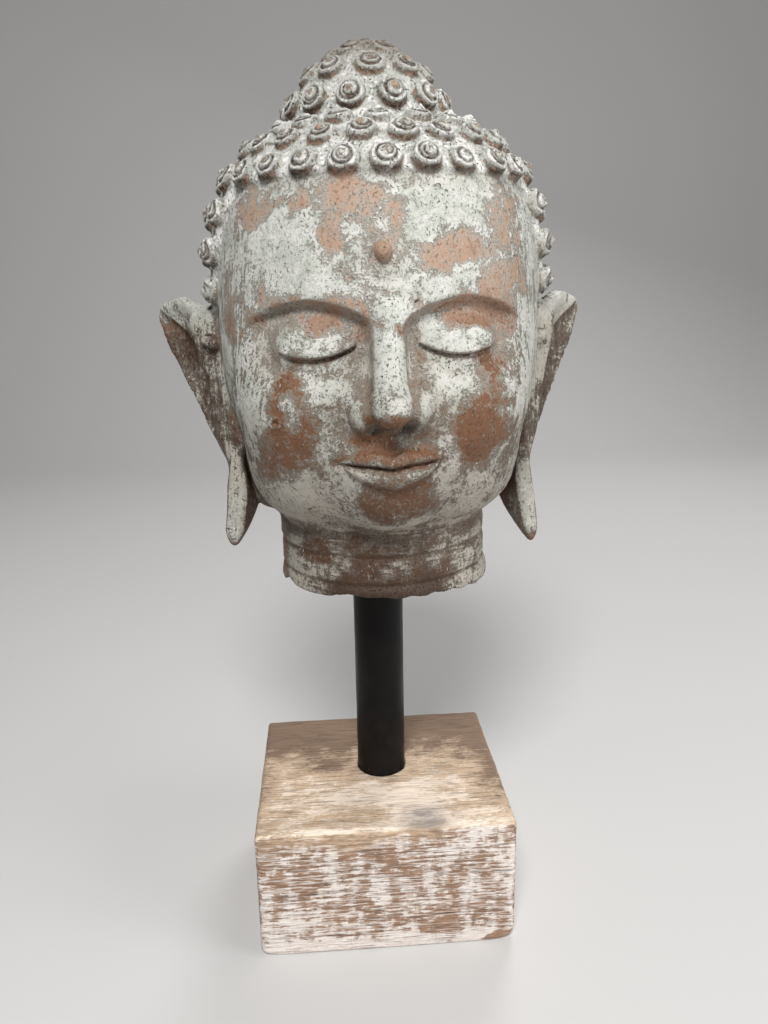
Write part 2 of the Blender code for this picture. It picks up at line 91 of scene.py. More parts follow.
# Head in millimetres: the canon's unit is one finger, and the face is three equal bands
FINGER = 8.17
CHIN = 4 * FINGER
HAIRLINE = 143.5
BAND = (HAIRLINE - CHIN) / 3
BROW = HAIRLINE - BAND
NOSE = BROW - BAND
EYE = BROW - 0.32 * BAND
MOUTH = NOSE - BAND / 3
EYE_APART = 21.5
URNA = (-0.6, BROW + 16.0)
LATTICE_LOW = (-88.0, -80.0, -6.0)
LATTICE_HIGH = (88.0, 82.0, 202.0)

# The face's mass over the skull: the middle of each swelling, its radii and how softly it joins
FLESH = (
    ((0, -15, 84), (50, 43.5, 57), 14.0),
    ((24, -32, 74), (22, 21, 24), 12.0),
    ((20, -16, 50), (27, 28, 21), 12.0),
    ((0, -39, 45.5), (17, 16, 13), 9.0),
    ((0, -44, 58), (21, 14.5, 14), 8.0),
)

# Hair: snail-shell curls in rings round two domes
CURL_PITCH = 12.6
RING_PITCH = 12.0
CURL_RADIUS = 4.7
COIL_TURNS = 2.4
HAIR_LIFT = 1.5
SKULL = dict(centre=(1.4, 6, 112), side=59, front=62, back=64, up=55, down=70, power=2.7)
USHNISHA = dict(centre=(0, 8, 160), side=30, front=30, back=30, up=34.5, down=20, power=1.8)
SKULL_FIRST_RING = 34.5
TOPKNOT_FOOT = 166.0

# Ears: the tip of the lobe, then in rows a height, x and y of the front rail, x and y of the rear rail
EAR_TIP = 14.0
EAR_RAILS = (
    (10, 59.5, -7.5, 54.0, 2.0),
    (20, 58.5, -8.5, 50.5, 7.0),
    (34, 56.0, -9.0, 50.0, 12.0),
    (46, 54.0, -7.5, 58.0, 12.5),
    (58, 53.5, -5.5, 64.5, 13.5),
    (70, 54.0, -4.0, 69.5, 16.0),
    (84, 55.5, -3.0, 76.0, 20.0),
    (96, 57.5, -2.0, 81.0, 22.5),
    (104, 59.0, -1.0, 82.0, 23.0),
    (112, 60.0, 0.0, 76.0, 21.0),
)
# Height of an ear's top edge, and of the top of its channel, at shares of its width from the front
EAR_CROWN = ((-0.2, 104.5), (0.0, 105.5), (0.35, 107.5), (0.75, 109.3), (1.0, 106.5), (1.2, 100.0))
EAR_CHANNEL = ((0.30, 84.0), (0.45, 91.0), (0.70, 99.5), (1.0, 107.5))
LEFT_EAR_RAISED = 2.2
LEFT_LOBE_SHORT = 2.2
RIGHT_LOBE_THIN = 0.66

# Neck: half its width and depth, how far back its middle is, its creases, and the bore for the post
NECK_SIDE = 39.9
NECK_DEPTH = 43.0
NECK_BACK = 4.0
NECK_TOP = 60.0
NECK_CREASES = (10.0, 20.5, 29.5)
BORE_RADIUS = 10.3
BORE_DEPTH = 25.0

# Where the patina is worn, from the front: x, z, half width, half height, and how thin (under 0, thick)
WEAR = (
    # forehead and temples
    (-40.0, 138.0, 5.0, 7.0, 0.85),
    (-26.0, 138.0, 7.5, 3.0, 0.75),
    (-8.0, 138.0, 12.0, 8.0, 0.7),
    (-15.0, 128.0, 3.0, 5.0, 0.8),
    (1.0, 131.0, 3.5, 5.0, 0.8),
    (22.0, 124.0, 15.0, 5.5, 0.8),
    (40.0, 136.0, 7.0, 9.0, 0.6),
    (-35.0, 112.0, 4.0, 6.0, 0.7),
    (-49.0, 106.0, 3.0, 12.0, 0.7),
    (39.0, 110.0, 9.0, 10.0, 0.6),
    # eyelids
    (-22.0, EYE + 7.0, 8.0, 3.5, 0.8),
    (26.0, EYE + 7.0, 9.0, 4.0, 0.9),
    # cheeks
    (-31.0, 70.0, 8.0, 17.0, 0.98),
    (-38.0, 58.0, 5.0, 5.0, 0.8),
    (30.0, 69.0, 9.0, 13.0, 0.98),
    (33.0, 86.0, 3.5, 5.5, 0.8),
    (43.0, 68.0, 7.0, 13.0, 0.6),
    # nose, lips and chin
    (0.0, NOSE + 3.0, 4.0, 3.0, 0.8),
    (0.0, MOUTH + 4.0, 16.0, 5.0, 0.65),
    (0.0, 46.0, 14.0, 9.0, 0.9),
    # neck
    (-7.0, 17.0, 6.0, 6.0, 0.9),
    (15.0, 14.0, 7.0, 4.0, 0.9),
    (-26.0, 20.0, 5.0, 4.0, 0.7),
    (-5.0, 6.0, 15.0, 5.0, 1.1),
    # thick crust down the side of the face and on one cheek
    (57.0, 112.0, 6.0, 36.0, -1.0),
    (-30.0, 76.0, 3.5, 6.0, -0.9),
    (-17.0, 74.0, 5.0, 14.0, -0.8),
    (15.0, 77.0, 5.0, 12.0, -0.6),
    (-22.0, 48.0, 12.0, 8.0, -0.35),
    (24.0, 47.0, 10.0, 7.0, -0.35),
    (48.0, 84.0, 5.0, 24.0, -0.5),
    (-30.0, 30.0, 12.0, 4.0, -0.3),
    (28.0, 26.0, 14.0, 4.0, -0.4),
    (34.0, 10.0, 10.0, 5.0, -0.5),
    (-28.0, 12.0, 7.0, 5.0, -0.4),
)

# Cells along, across and up the block
BLOCK_GRID = (110, 150, 96)
# Checks in its front and back, in millimetres: height, start, end, half width and rise over RISE_RUN
RISE_RUN = 40
BLOCK_CHECKS = (
    (26.0, -50.0, -14.0, 0.26, 1.6),
    (37.0, -18.0, 12.0, 0.16, 0.8),
    (33.0, 18.0, 50.0, 0.16, -0.8),
    (14.0, -4.0, 40.0, 0.16, 1.0),
    (8.0, -46.0, -14.0, 0.14, -0.5),
    (44.0, 22.0, 50.0, 0.18, 0.9),
)


# ---- shapes as signed distances, negative inside ----


def step(low, high, t):
    """Smooth step from 0 at low to 1 at high."""
    t = np.clip((t - low) / (high - low), 0, 1)
    return t * t * (3 - 2 * t)


def bell(t):
    """1 at 0, falling away smoothly to both sides."""
    return np.exp(-t * t)


def join(a, b, blend):
    """Union with a fillet of about this size."""
    h = np.clip(0.5 + 0.5 * (b - a) / blend, 0, 1)
    return b + (a - b) * h - blend * h * (1 - h)


def carve(a, b, blend):
    """a with b taken out of it, the rim rounded."""
    return -join(-a, b, blend)


def egg_place(x, y, z, shape):
    """x, y and z in an egg's own units, with its depth and its height on the point's side."""
    x = (x - shape["centre"][0]) / shape["side"]
    y = y - shape["centre"][1]
    z = z - shape["centre"][2]
    depth = np.where(y < 0, shape["front"], shape["back"])
    height = np.where(z > 0, shape["up"], shape["down"])
    return x, y / depth, z / height, depth, height


def egg(x, y, z, shape):
    """An egg with its own reach forwards, backwards, up and down, squarer as its power rises."""
    x, y, z, depth, height = egg_place(x, y, z, shape)
    power = shape["power"]
    rho = np.sqrt(x * x + y * y) + 1e-6
    zeta = np.abs(z)
    q = (rho**power + zeta**power) ** (1 / power) + 1e-6
    d_rho = (rho / q) ** (power - 1) * np.sqrt((x / shape["side"]) ** 2 + (y / depth) ** 2) / rho
    d_zeta = (zeta / q) ** (power - 1) / height
    return (q - 1) / np.sqrt(d_rho**2 + d_zeta**2 + 1e-12)


def ball(x, y, z, centre, radii):
    """Ellipsoid."""
    x = x - centre[0]
    y = y - centre[1]
    z = z - centre[2]
    a, b, c = radii
    k0 = np.sqrt((x / a) ** 2 + (y / b) ** 2 + (z / c) ** 2) + 1e-6
    k1 = np.sqrt((x / a**2) ** 2 + (y / b**2) ** 2 + (z / c**2) ** 2) + 1e-6
    return k0 * (k0 - 1) / k1


def rod(x, y, z, a, b, radius_a, radius_b):
    """Round rod from a to b."""
    x = x - a[0]
    y = y - a[1]
    z = z - a[2]
    d = np.subtract(b, a)
    t = np.clip((x * d[0] + y * d[1] + z * d[2]) / float(d @ d), 0, 1)
    away = np.sqrt((x - t * d[0]) ** 2 + (y - t * d[1]) ** 2 + (z - t * d[2]) ** 2)
    return away - (radius_a + (radius_b - radius_a) * t)


def through(knots):
    """Smooth function through (position, value) knots."""
    at = np.array([knot[0] for knot in knots], float)
    value = np.array([knot[1] for knot in knots], float)
    slope = np.gradient(value, at)

    def function(t):
        t = np.clip(t, at[0], at[-1])
        i = np.clip(np.searchsorted(at, t, side="right") - 1, 0, len(at) - 2)
        h = at[i + 1] - at[i]
        s = (t - at[i]) / h
        start = (1 + 2 * s) * (1 - s) ** 2 * value[i] + s * (1 - s) ** 2 * h * slope[i]
        end = s * s * (3 - 2 * s) * value[i + 1] + s * s * (s - 1) * h * slope[i + 1]
        return start + end

    return function


def unevenness(x, y, z, size, salt=0):
    """Smooth random field from -0.5 to 0.5 with lumps of about this size."""
    place = np.stack(np.broadcast_arrays(x, y, z), -1) / size + 0.37 * salt
    whole = np.floor(place)
    part = place - whole
    part = part * part * (3 - 2 * part)
    value = 0.0
    for corner in CORNERS:
        at = whole + corner
        dice = np.sin(at @ DICE + 4.1 * salt) * DICE_FACTOR
        share = np.prod(np.where(np.array(corner) == 1, part, 1 - part), axis=-1)
        value = value + share * (dice - np.floor(dice))
    return value - 0.5


# ---- hair ----


class CurledDome:
    """A dome of hair with curls in rings, numbered from a first ring at this arc length from the top."""

    def __init__(self, shape, first, worn):
        self.shape = shape
        self.first = first
        angle = np.linspace(-np.pi / 2, np.pi / 2, 721)
        rho, zeta, q = self.outline(angle)
        mean = (2 * shape["side"] + shape["front"] + shape["back"]) / 4
        radius = mean * rho / q
        height = np.where(zeta > 0, shape["up"], shape["down"]) * zeta / q
        arc = np.concatenate([[0], np.cumsum(np.hypot(np.diff(radius), np.diff(height)))])
        self.angle = angle
        self.arc = arc[-1] - arc
        self.rings = int((self.arc[0] - first) / RING_PITCH) + 1
        ring_arc = first + RING_PITCH * np.arange(self.rings)
        self.ring_angle = np.interp(-ring_arc, -self.arc, angle)
        self.ring_radius = np.interp(-ring_arc, -self.arc, radius)
        self.count = np.maximum(1, np.round(2 * np.pi * self.ring_radius / CURL_PITCH)).astype(int)
        self.worn = np.zeros((self.rings, self.count.max()), bool)
        for ring in range(self.rings):
            n = self.count[ring]
            turn = (np.arange(n) + 0.5 * (ring % 2)) * 2 * np.pi / n
            self.worn[ring, :n] = worn(*self.point(self.ring_angle[ring], turn))

    def outline(self, angle):
        """Cosine and sine of this angle above the equator, and what to divide both by for the dome."""
        power = self.shape["power"]
        rho = np.cos(angle)
        zeta = np.sin(angle)
        return rho, zeta, (np.abs(rho) ** power + np.abs(zeta) ** power) ** (1 / power)

    def point(self, angle, turn):
        """The place on the dome at this angle above its equator, turned this far from the front."""
        shape = self.shape
        rho, zeta, q = self.outline(angle)
        y = -np.cos(turn)
        x = shape["side"] * np.sin(turn) * rho / q
        y = np.where(y < 0, shape["front"], shape["back"]) * y * rho / q
        z = (shape["up"] if zeta > 0 else shape["down"]) * zeta / q + 0 * turn
        return x + shape["centre"][0], y + shape["centre"][1], z + shape["centre"][2]

    def field(self, x, y, z):
        """The bare dome."""
        return egg(x, y, z, self.shape)

    def nearest_curl(self, x, y, z):
        """For each point: is there a curl, how far out on it, its coil, its size and its cell's fade."""
        x, y, z, _, _ = egg_place(x, y, z, self.shape)
        arc = np.interp(np.arctan2(z, np.sqrt(x * x + y * y) + 1e-9), self.angle, self.arc)
        turn = np.arctan2(x, -y) % (2 * np.pi)
        ring = np.clip(np.round((arc - self.first) / RING_PITCH).astype(int), 0, self.rings - 1)
        n = self.count[ring]
        shift = 0.5 * (ring % 2)
        place = np.round(turn / (2 * np.pi) * n - shift).astype(int) % n

        def chance(salt):
            """A fixed number from -0.5 to 0.5 for each curl."""
            return (np.sin(ring * DICE[0] + place * DICE[1] + salt * DICE[2]) * DICE_FACTOR) % 1.0 - 0.5

        across = (turn - (place + shift) * 2 * np.pi / n + np.pi) % (2 * np.pi) - np.pi
        across = across * self.ring_radius[ring]
        along = self.first + ring * RING_PITCH - arc
        apart = step(0.5, 0.43, np.abs(across) / CURL_PITCH) * step(0.5, 0.43, np.abs(along) / RING_PITCH)
        across = across - 0.9 * chance(1)
        along = along - 0.9 * chance(2)
        r = np.hypot(across, along) / (CURL_RADIUS * (1 + 0.14 * chance(3)))
        coil = (r * COIL_TURNS - np.arctan2(along, across) / (2 * np.pi) + chance(4)) % 1.0
        return self.worn[ring, place], r, coil, 1 + 0.22 * chance(5), apart

    def curls(self, x, y, z):
        """Height of the curls over the dome: a skirt, a rolled rim and a coil that climbs to a nub."""
        there, r, coil, size, apart = self.nearest_curl(x, y, z)
        skirt = 0.6 * (1 - step(0.95, 1.34, r))
        drum = skirt + 1.2 * (1 - step(0.82, 1.08, r)) + 2.0 * np.clip(0.88 - r, 0, 1)
        rim = 0.85 * np.sqrt(np.clip(1 - ((r - 0.82) / 0.19) ** 2, 0, 1))
        roll = 0.9 * np.sqrt(np.clip(1 - (2 * coil - 1) ** 2, 0, 1)) * step(0.62, 0.54, r)
        nub = 1.1 * np.sqrt(np.clip(1 - (r / 0.33) ** 2, 0, 1))
        return np.where(there, apart * size * (drum + rim + np.maximum(roll, nub)), 0.0)

    def curl_parts(self, x, y, z):
        """Three shares: the nub of a curl, the grooves of its coil, and its outer wall."""
        there, r, coil, _, _ = self.nearest_curl(x, y, z)
        nub = step(0.34, 0.22, r)
        between = step(0.62, 0.54, r) * bell(np.minimum(coil, 1 - coil) / 0.15) * step(0.24, 0.32, r)
        groove = np.maximum(bell((r - 0.60) / 0.07), between)
        wall = bell((r - 1.0) / 0.13)
        return there * np.stack([nub, groove, wall])


def hair(y, z):
    """Positive inside the hair's outline: over the brow, before and behind the ears, round the nape."""
    top = z - HAIRLINE
    side = y - np.interp(z, (104, 112, 126, 144), (-3.0, -11.0, -19.0, -23.0))
    under = z - np.interp(y, (-2, 6, 16, 28), (104.0, 96.0, 60.0, 45.0))
    return -join(-top, -np.minimum(side, under), 5.0)


cap = CurledDome(SKULL, SKULL_FIRST_RING, lambda x, y, z: hair(y, z) > 2.6)
topknot = CurledDome(USHNISHA, 0.0, lambda x, y, z: z > TOPKNOT_FOOT)


# ---- ears ----

ear_rails = [through([(row[0], row[i]) for row in EAR_RAILS]) for i in (1, 2, 3, 4)]
ear_crown = through(EAR_CROWN)
ear_channel = through(EAR_CHANNEL)


def ear_place(x, y, z):
    """Where a point lies on an ear: height, distance back from the front rail, distance out, ear width."""
    z = np.where(x < 0, z - LEFT_EAR_RAISED, z)
    x = np.abs(x)
    front_x, front_y, rear_x, rear_y = (rail(z) for rail in ear_rails)
    dx = rear_x - front_x
    dy = rear_y - front_y
    length = np.hypot(dx, dy)
    along = ((x - front_x) * dx + (y - front_y) * dy) / length
    outward = ((x - front_x) * dy - (y - front_y) * dx) / length
    return z, along, outward, length


def in_channel(u, z):
    """1 in the channel down the outer side of an ear, 0 outside it."""
    return step(0.0, 3.0, ear_channel(u) - z) * step(0.34, 0.46, u) * step(1.02, 0.90, u) * step(40, 66, z)


def ear(x, y, z):
    """Both long ears: a ribbon between a front rail on the head and a rear rail that flares outwards.

    A channel runs down its outer side, under a broad band that slants from the crown to the head.
    """
    thin = np.where(x > 0, RIGHT_LOBE_THIN, 1.0)
    tip = np.where(x > 0, EAR_TIP, EAR_TIP + LEFT_LOBE_SHORT)
    z, along, outward, length = ear_place(x, y, z)
    x = np.abs(x)
    u = np.clip(along / length, 0, 1)
    crown = ear_crown(along / length)
    lobe = step(52, 38, z)
    foot = tip + 21.0 * np.abs(u - 0.12) ** 1.5 + 0.30 * np.minimum(outward * outward, 30) / thin
    bowl = step(48, 80, z) * step(0.0, 9.0, crown - z) * np.sin(np.pi * np.clip((u - 0.30) / 0.70, 0, 1))
    ridge = step(44, 60, z) * step(111, 96, z) * bell((u - 0.24) / 0.14)
    middle = 2.2 * ridge - 3.2 * bowl
    half = 2.4 + 0.5 * ridge + lobe * thin * (2.1 - 2.4 * u)
    edge = 1.5 + 1.6 * lobe * thin * (1 - u)
    a = np.abs(along - length / 2) - length / 2 + edge
    b = np.maximum(z - crown, foot - z) + edge
    c = np.maximum(outward - middle - half + 2.3 * in_channel(u, z), middle - outward - half) + edge
    outside = np.sqrt(np.maximum(a, 0) ** 2 + np.maximum(b, 0) ** 2 + np.maximum(c, 0) ** 2)
    ribbon = outside + np.minimum(np.maximum(np.maximum(a, b), c), 0) - edge
    scroll = rod(x, y, z, (60.0, -5.0, 93.0), (62.5, -3.5, 94.0), 2.2, 1.7)
    return join(ribbon, scroll, 1.0)


# ---- face ----


def lids(x, z):
    """Closed eyelids: the upper lid's rim, the slit under it and the lower lid."""
    e = (np.abs(x) - EYE_APART) / (EYE_APART / 2)
    t = z - (EYE - 3.2 + 2.3 * e * e - 0.9 * e)
    upper = 1.15 * step(-0.35, 0.35, t) * step(9, 1.0, t)
    rim = 0.55 * bell((t - 0.7) / 0.75)
    slit = -0.9 * bell((t + 0.7) / 0.65)
    lower = 0.5 * bell((t + 2.7) / 1.2)
    return step(1.22, 1.0, np.abs(e)) * (upper + rim + slit + lower)


def brow_line(s):
    """Height of the brow's arc at this distance from the middle."""
    return BROW + 2.6 - 7.0 * ((s - 25) / 21) ** 2


def eye_hollow(x, z):
    """Depth of the eye hollows, whose upper edge is the brow."""
    s = np.abs(x)
    upright = step(-0.6, 3.2, brow_line(s) - z) * step(EYE - 17, EYE - 3, z)
    return 5.0 * upright * step(50, 34, s) * (0.25 + 0.75 * step(2.0, 9.0, s))


def lips(x, z):
    """How far the lips stand out, with the seam between them and the groove over them."""
    t = x / 17.5
    inside = np.clip(1 - t * t, 0, 1)
    line = MOUTH + 1.5 * t * t - 0.7 * bell(x / 3.2)
    top = line + 5.6 * inside**0.8 * (1 - 0.20 * bell(x / 2.6)) + 0.05
    low = line - 7.0 * np.clip(1 - (x / 15.5) ** 2, 0, 1) ** 0.7 - 0.05
    a = np.clip((z - line) / (top - line), 0, 1)
    b = np.clip((line - z) / (line - low), 0, 1)
    upper = np.where(z >= line, (4 * a * (1 - a)) ** 0.55 * 2.4, 0) * inside**0.5
    lower = np.where(z < line, (4 * b * (1 - b)) ** 0.55 * 3.0, 0) * inside**0.5
    seam = -0.95 * bell((z - line) / 0.9) * step(1.18, 0.95, np.abs(t))
    groove = step(MOUTH + 4.5, MOUTH + 7.0, z) * step(NOSE + 2, NOSE - 2, z)
    return upper + lower + seam - 0.8 * bell(x / 2.4) * groove


def nose(x, y, z):
    """Bridge, tip and wings."""
    s = np.abs(x)
    bridge = rod(x, y, z, (0, -57.0, BROW - 2), (0, -63.2, NOSE + 10), 4.4, 5.4)
    tip = ball(x, y, z, (0, -64.4, NOSE + 6.6), (6.4, 7.0, 5.8))
    wing = ball(s, y, z, (8.6, -59.0, NOSE + 5.4), (4.3, 6.6, 4.9))
    return join(join(bridge, tip, 4.0), wing, 2.0)


def face(x, y, z):
    """The bare head: skull, face, cheeks, jaw, chin, eyes, nose, lips and the urna on the forehead."""
    s = np.abs(x)
    front = step(-14, -34, y)
    at = y + front * (lids(x, z) + lips(x, z) - eye_hollow(x, z))
    d = egg(x, at, z, SKULL)
    for middle, radii, blend in FLESH:
        d = join(d, ball(s, at, z, middle, radii), blend)
    eyes = ball(s, y + front * lids(x, z), z, (EYE_APART, -45.2, EYE + 0.5), (13.5, 9.0, 10.0))
    d = join(d, eyes, 3.0)
    d = join(d, nose(x, y, z), 4.5)
    d = carve(d, ball(s, y, z, (4.8, -61.0, NOSE + 0.2), (2.8, 4.4, 2.2)), 1.2)
    urna = ball(x, y, z, (URNA[0], -57.2, URNA[1]), (2.6, 3.1, 2.8))
    return join(d, urna, 0.5)


def neck(x, y, z):
    """A column with three shallow creases and a collar that stands out at the left."""
    crease = sum(bell((z - at) / 0.75) - 0.5 * bell((z - at - 1.8) / 0.8) for at in NECK_CREASES)
    swell = 0.2 * np.cos((z - 15.2) * 2 * np.pi / 10.2) * step(40, 30, z)
    flare = step(11, 5, z) * (0.4 + 0.7 * bell((x - 40) / 9) * step(30, -10, y))
    r = np.sqrt((x / NECK_SIDE) ** 2 + ((y - NECK_BACK) / NECK_DEPTH) ** 2)
    return np.maximum((r - 1) * NECK_SIDE - swell - flare + 0.55 * crease, z - NECK_TOP)


def head(x, y, z):
    """The whole casting, its neck cut off and bored for the post."""
    s = np.abs(x)
    lift = HAIR_LIFT * step(1.0, 3.6, hair(y, z))
    d = face(x, y, z) - lift - cap.curls(x, y, z)
    worn = 1 - 0.45 * step(178, 192, z)
    d = join(d, topknot.field(x, y, z) - worn * topknot.curls(x, y, z), 1.5)
    d = join(d, neck(x, y, z), 5.0)
    d = join(d, ball(s, y, z, (42, 9, 47), (12, 7.5, 18)), 6.0)
    d = join(d, ball(s, y, z, (51.5, 3.0, 78), (8, 9.5, 32)), 5.0)
    d = join(d, ear(x, y, z), 3.0)
    lean = math.tan(math.radians(HEAD_LEAN_DEG))
    slope = math.tan(math.radians(NECK_CUT_SLOPE_DEG))
    tilt = math.tan(math.radians(NECK_CUT_TILT_DEG))
    chips = 0.55 * np.sin(0.19 * x + 1.0) * np.cos(0.11 * y) + 0.3 * np.sin(0.61 * x + 0.4 * y)
    cut = NECK_CUT_MIDDLE - slope * x - tilt * y + chips * step(24, 36, np.hypot(x, y)) - z
    notch = ball(x, y, z, (-39, -14, 4.6), (4.0, 7.0, 1.8))
    bore = np.maximum(np.hypot(x + HEAD_ASIDE - lean * z, y) - BORE_RADIUS, z - BORE_DEPTH)
    return np.maximum(carve(np.maximum(d, cut), notch, 1.0), -bore)


def on_front(y):
    """1 on the front of the face, 0 behind it."""
    return step(-20, -35, y)


def weathered_head(x, y, z):
    """The casting with the slight lumps of its surface, a ringed blister in one cheek and two pits."""
    calm = 1 - 0.5 * step(-1.0, 1.0, hair(y, z))
    lumps = 0.45 * unevenness(x, y, z, 8.0) + 0.20 * unevenness(x, y, z, 2.6, 1)
    lumps = lumps + 0.9 * step(0.0, 3.0, hair(y, z)) * unevenness(x, y, z, 1.3, 2)
    r = np.hypot(x - BLISTER[0], z - BLISTER[1])
    blister = bell((r - 1.5) / 0.5) - 0.5 * bell(r / 0.8)
    pits = 1.6 * bell(np.hypot((x - PIT[0]) / 1.2, (z - PIT[1]) / 2.0))
    pits = pits + 0.9 * bell(np.hypot(x - SMALL_PIT[0], z - SMALL_PIT[1]) / 0.9)
    return head(x, y, z) - calm * lumps - on_front(y) * (blister - pits)


# ---- from a signed distance to a closed mesh ----


def shifted(array, i, j, k):
    """The block of a grid array whose first corner is i, j, k, as long as the cells are."""
    x, y, z = (length - 1 for length in array.shape)
    return array[i : i + x, j : j + y, k : k + z]


def lattice(field, low, high, spacing, coarse=4):
    """Values of the field on a lattice, worked out closely only in the cells near the surface."""
    outside = 9.0
    margin = 1.5
    wide = spacing * coarse
    cells = [int(math.ceil((high[i] - low[i]) / wide)) for i in range(3)]
    axes = [low[i] + wide * np.arange(cells[i] + 1) for i in range(3)]
    rough = field(*np.meshgrid(*axes, indexing="ij"))
    near = np.abs(rough) < 1.9 * wide + margin
    close = np.zeros(cells, bool)
    for corner in CORNERS:
        close |= shifted(near, *corner)
    values = np.full([n * coarse + 1 for n in cells], outside, np.float32)
    for axis in range(3):
        close = close.repeat(coarse, axis)
        rough = rough.repeat(coarse, axis)
    inner = values[:-1, :-1, :-1]
    inner[...] = rough[: inner.shape[0], : inner.shape[1], : inner.shape[2]]
    wanted = np.zeros(values.shape, bool)
    for corner in CORNERS:
        shifted(wanted, *corner)[...] |= close
    at = np.argwhere(wanted)
    points = at * spacing + np.array(low)
    values[wanted] = in_batches(field, points)
    return values


def in_batches(field, points, size=400000):
    """Values of the field at these points, a batch at a time."""
    starts = range(0, len(points), size)
    return np.concatenate([field(*points[start : start + size].T) for start in starts])


def untangled(values, fill):
    """Pinches filled: no face with alternate corners inside, no cell with two opposite ones alone."""
    values = values.copy()
    while True:
        inside = values < 0
        filled = np.zeros(values.shape, bool)
        for axis in range(3):
            sheet = np.moveaxis(inside, axis, 0)
            a = sheet[:, :-1, :-1]
            b = sheet[:, 1:, :-1]
            c = sheet[:, :-1, 1:]
            d = sheet[:, 1:, 1:]
            tangled = (a == d) & (b == c) & (a != b)
            target = np.moveaxis(filled, axis, 0)
            for i in (0, 1):
                for j in (0, 1):
                    target[:, i : i + a.shape[1], j : j + a.shape[2]] |= tangled
        count = sum(shifted(inside, *corner).astype(np.int8) for corner in CORNERS)
        for i, j, k in CORNERS[:4]:
            one = shifted(inside, i, j, k)
            other = shifted(inside, 1 - i, 1 - j, 1 - k)
            tangled = (one == other) & (count == np.where(one, 2, 6))
            for corner in CORNERS:
                shifted(filled, *corner)[...] |= tangled
        filled &= ~inside
        if not filled.any():
            return values
        values[filled] = -fill


def surface_net(values, low, spacing):
    """One point in each lattice cell that the surface crosses, and a quad round each crossed edge."""
    cells = np.array(values.shape) - 1
    quads = []
    places = []
    for axis in range(3):
        along = np.moveaxis(values, axis, 0)
        first = along[:-1]
        second = along[1:]
        crossed = (first < 0) != (second < 0)
        others = [i for i in range(3) if i != axis]
        index = np.empty((crossed.sum(), 3), int)
        index[:, [axis, *others]] = np.argwhere(crossed)
        place = index.astype(float)
        place[:, axis] += first[crossed] / (first[crossed] - second[crossed])
        places.append(np.repeat(place, 4, axis=0))
        ring = np.repeat(index[:, None], 4, axis=1)
        ring[:, 1:3, (axis + 1) % 3] -= 1
        ring[:, 2:4, (axis + 2) % 3] -= 1
        quad = np.ravel_multi_index(tuple(np.moveaxis(ring, 2, 0)), cells)
        leaving = first[crossed] < 0
        quad[~leaving] = quad[~leaving][:, ::-1]
        quads.append(quad)
    quads = np.concatenate(quads)
    places = np.concatenate(places)
    corner = np.unique(quads.ravel(), return_inverse=True)[1]
    share = np.bincount(corner)
    points = np.stack([np.bincount(corner, places[:, i]) / share for i in range(3)], 1)
    return points * spacing + np.array(low), corner.reshape(quads.shape)


def largest_part(points, quads):
    """The largest connected part of the mesh, without crumbs that float free of it."""
    part = np.arange(len(points))
    ends = np.concatenate([quads[:, [i, (i + 1) % 4]] for i in range(4)])
    while True:
        lowest = part.copy()
        np.minimum.at(lowest, ends[:, 0], part[ends[:, 1]])
        np.minimum.at(lowest, ends[:, 1], part[ends[:, 0]])
        lowest = lowest[lowest]
        if (lowest == part).all():
            break
        part = lowest
    kept = part == np.bincount(part).argmax()
    number = np.cumsum(kept) - 1
    return points[kept], number[quads[kept[quads[:, 0]]]]


def slope_of(field, points, reach=0.15):
    """Slope of the field at these points, from four probes round each."""
    probe = reach * np.array([(1, -1, -1), (-1, -1, 1), (-1, 1, -1), (1, 1, 1)])
    return sum(p * in_batches(field, points + p)[:, None] for p in probe) / (4 * reach**2)


def settled(field, points, rounds, most):
    """The points moved onto the surface of the field."""
    for _ in range(rounds):
        slope = slope_of(field, points)
        steep = np.maximum((slope * slope).sum(1), 0.1)
        move = -(in_batches(field, points) / steep)[:, None] * slope
        far = np.linalg.norm(move, axis=1, keepdims=True)
        points = points + move * np.minimum(1, most / np.maximum(far, 1e-9))
    return points


def points_of(mesh):
    """The mesh's vertices, one in a row."""
    points = np.empty(len(mesh.vertices) * 3, np.float32)
    mesh.vertices.foreach_get("co", points)
    return points.reshape(-1, 3).astype(float)


def quartered(points, quads, chosen):
    """The mesh in triangles, its faces first quartered wherever their points are chosen."""
    shape = bmesh.new()
    made = [shape.verts.new(point) for point in points.tolist()]
    for quad in quads.tolist():
        shape.faces.new([made[i] for i in quad])
    shape.verts.index_update()
    edges = [e for e in shape.edges if chosen[e.verts[0].index] and chosen[e.verts[1].index]]
    bmesh.ops.subdivide_edges(shape, edges=edges, cuts=1, use_grid_fill=True)
    bmesh.ops.triangulate(shape, faces=shape.faces)
    mesh = bpy.data.meshes.new("quartered")
    shape.to_mesh(mesh)
    shape.free()
    points = points_of(mesh)
    faces = np.empty(len(mesh.loops), np.int32)
    mesh.loops.foreach_get("vertex_index", faces)
    bpy.data.meshes.remove(mesh)
    return points, faces.reshape(-1, 3)


# ---- objects ----


def placed(name, data):
    """A new object with this data, in the scene."""
    made = bpy.data.objects.new(name, data)
    bpy.context.collection.objects.link(made)
    return made


def object_of(name, points, faces):
    """A new mesh object, from points in metres, shaded smooth."""
    mesh = bpy.data.meshes.new(name)
    mesh.from_pydata(points.tolist(), [], faces)
    mesh.update()
    mesh.shade_smooth()
    return placed(name, mesh)


def settle_modifiers(obj):
    """The object's mesh replaced by what its modifiers make of it."""
    graph = bpy.context.evaluated_depsgraph_get()
    made = bpy.data.meshes.new_from_object(obj.evaluated_get(graph))
    obj.modifiers.clear()
    obj.data = made


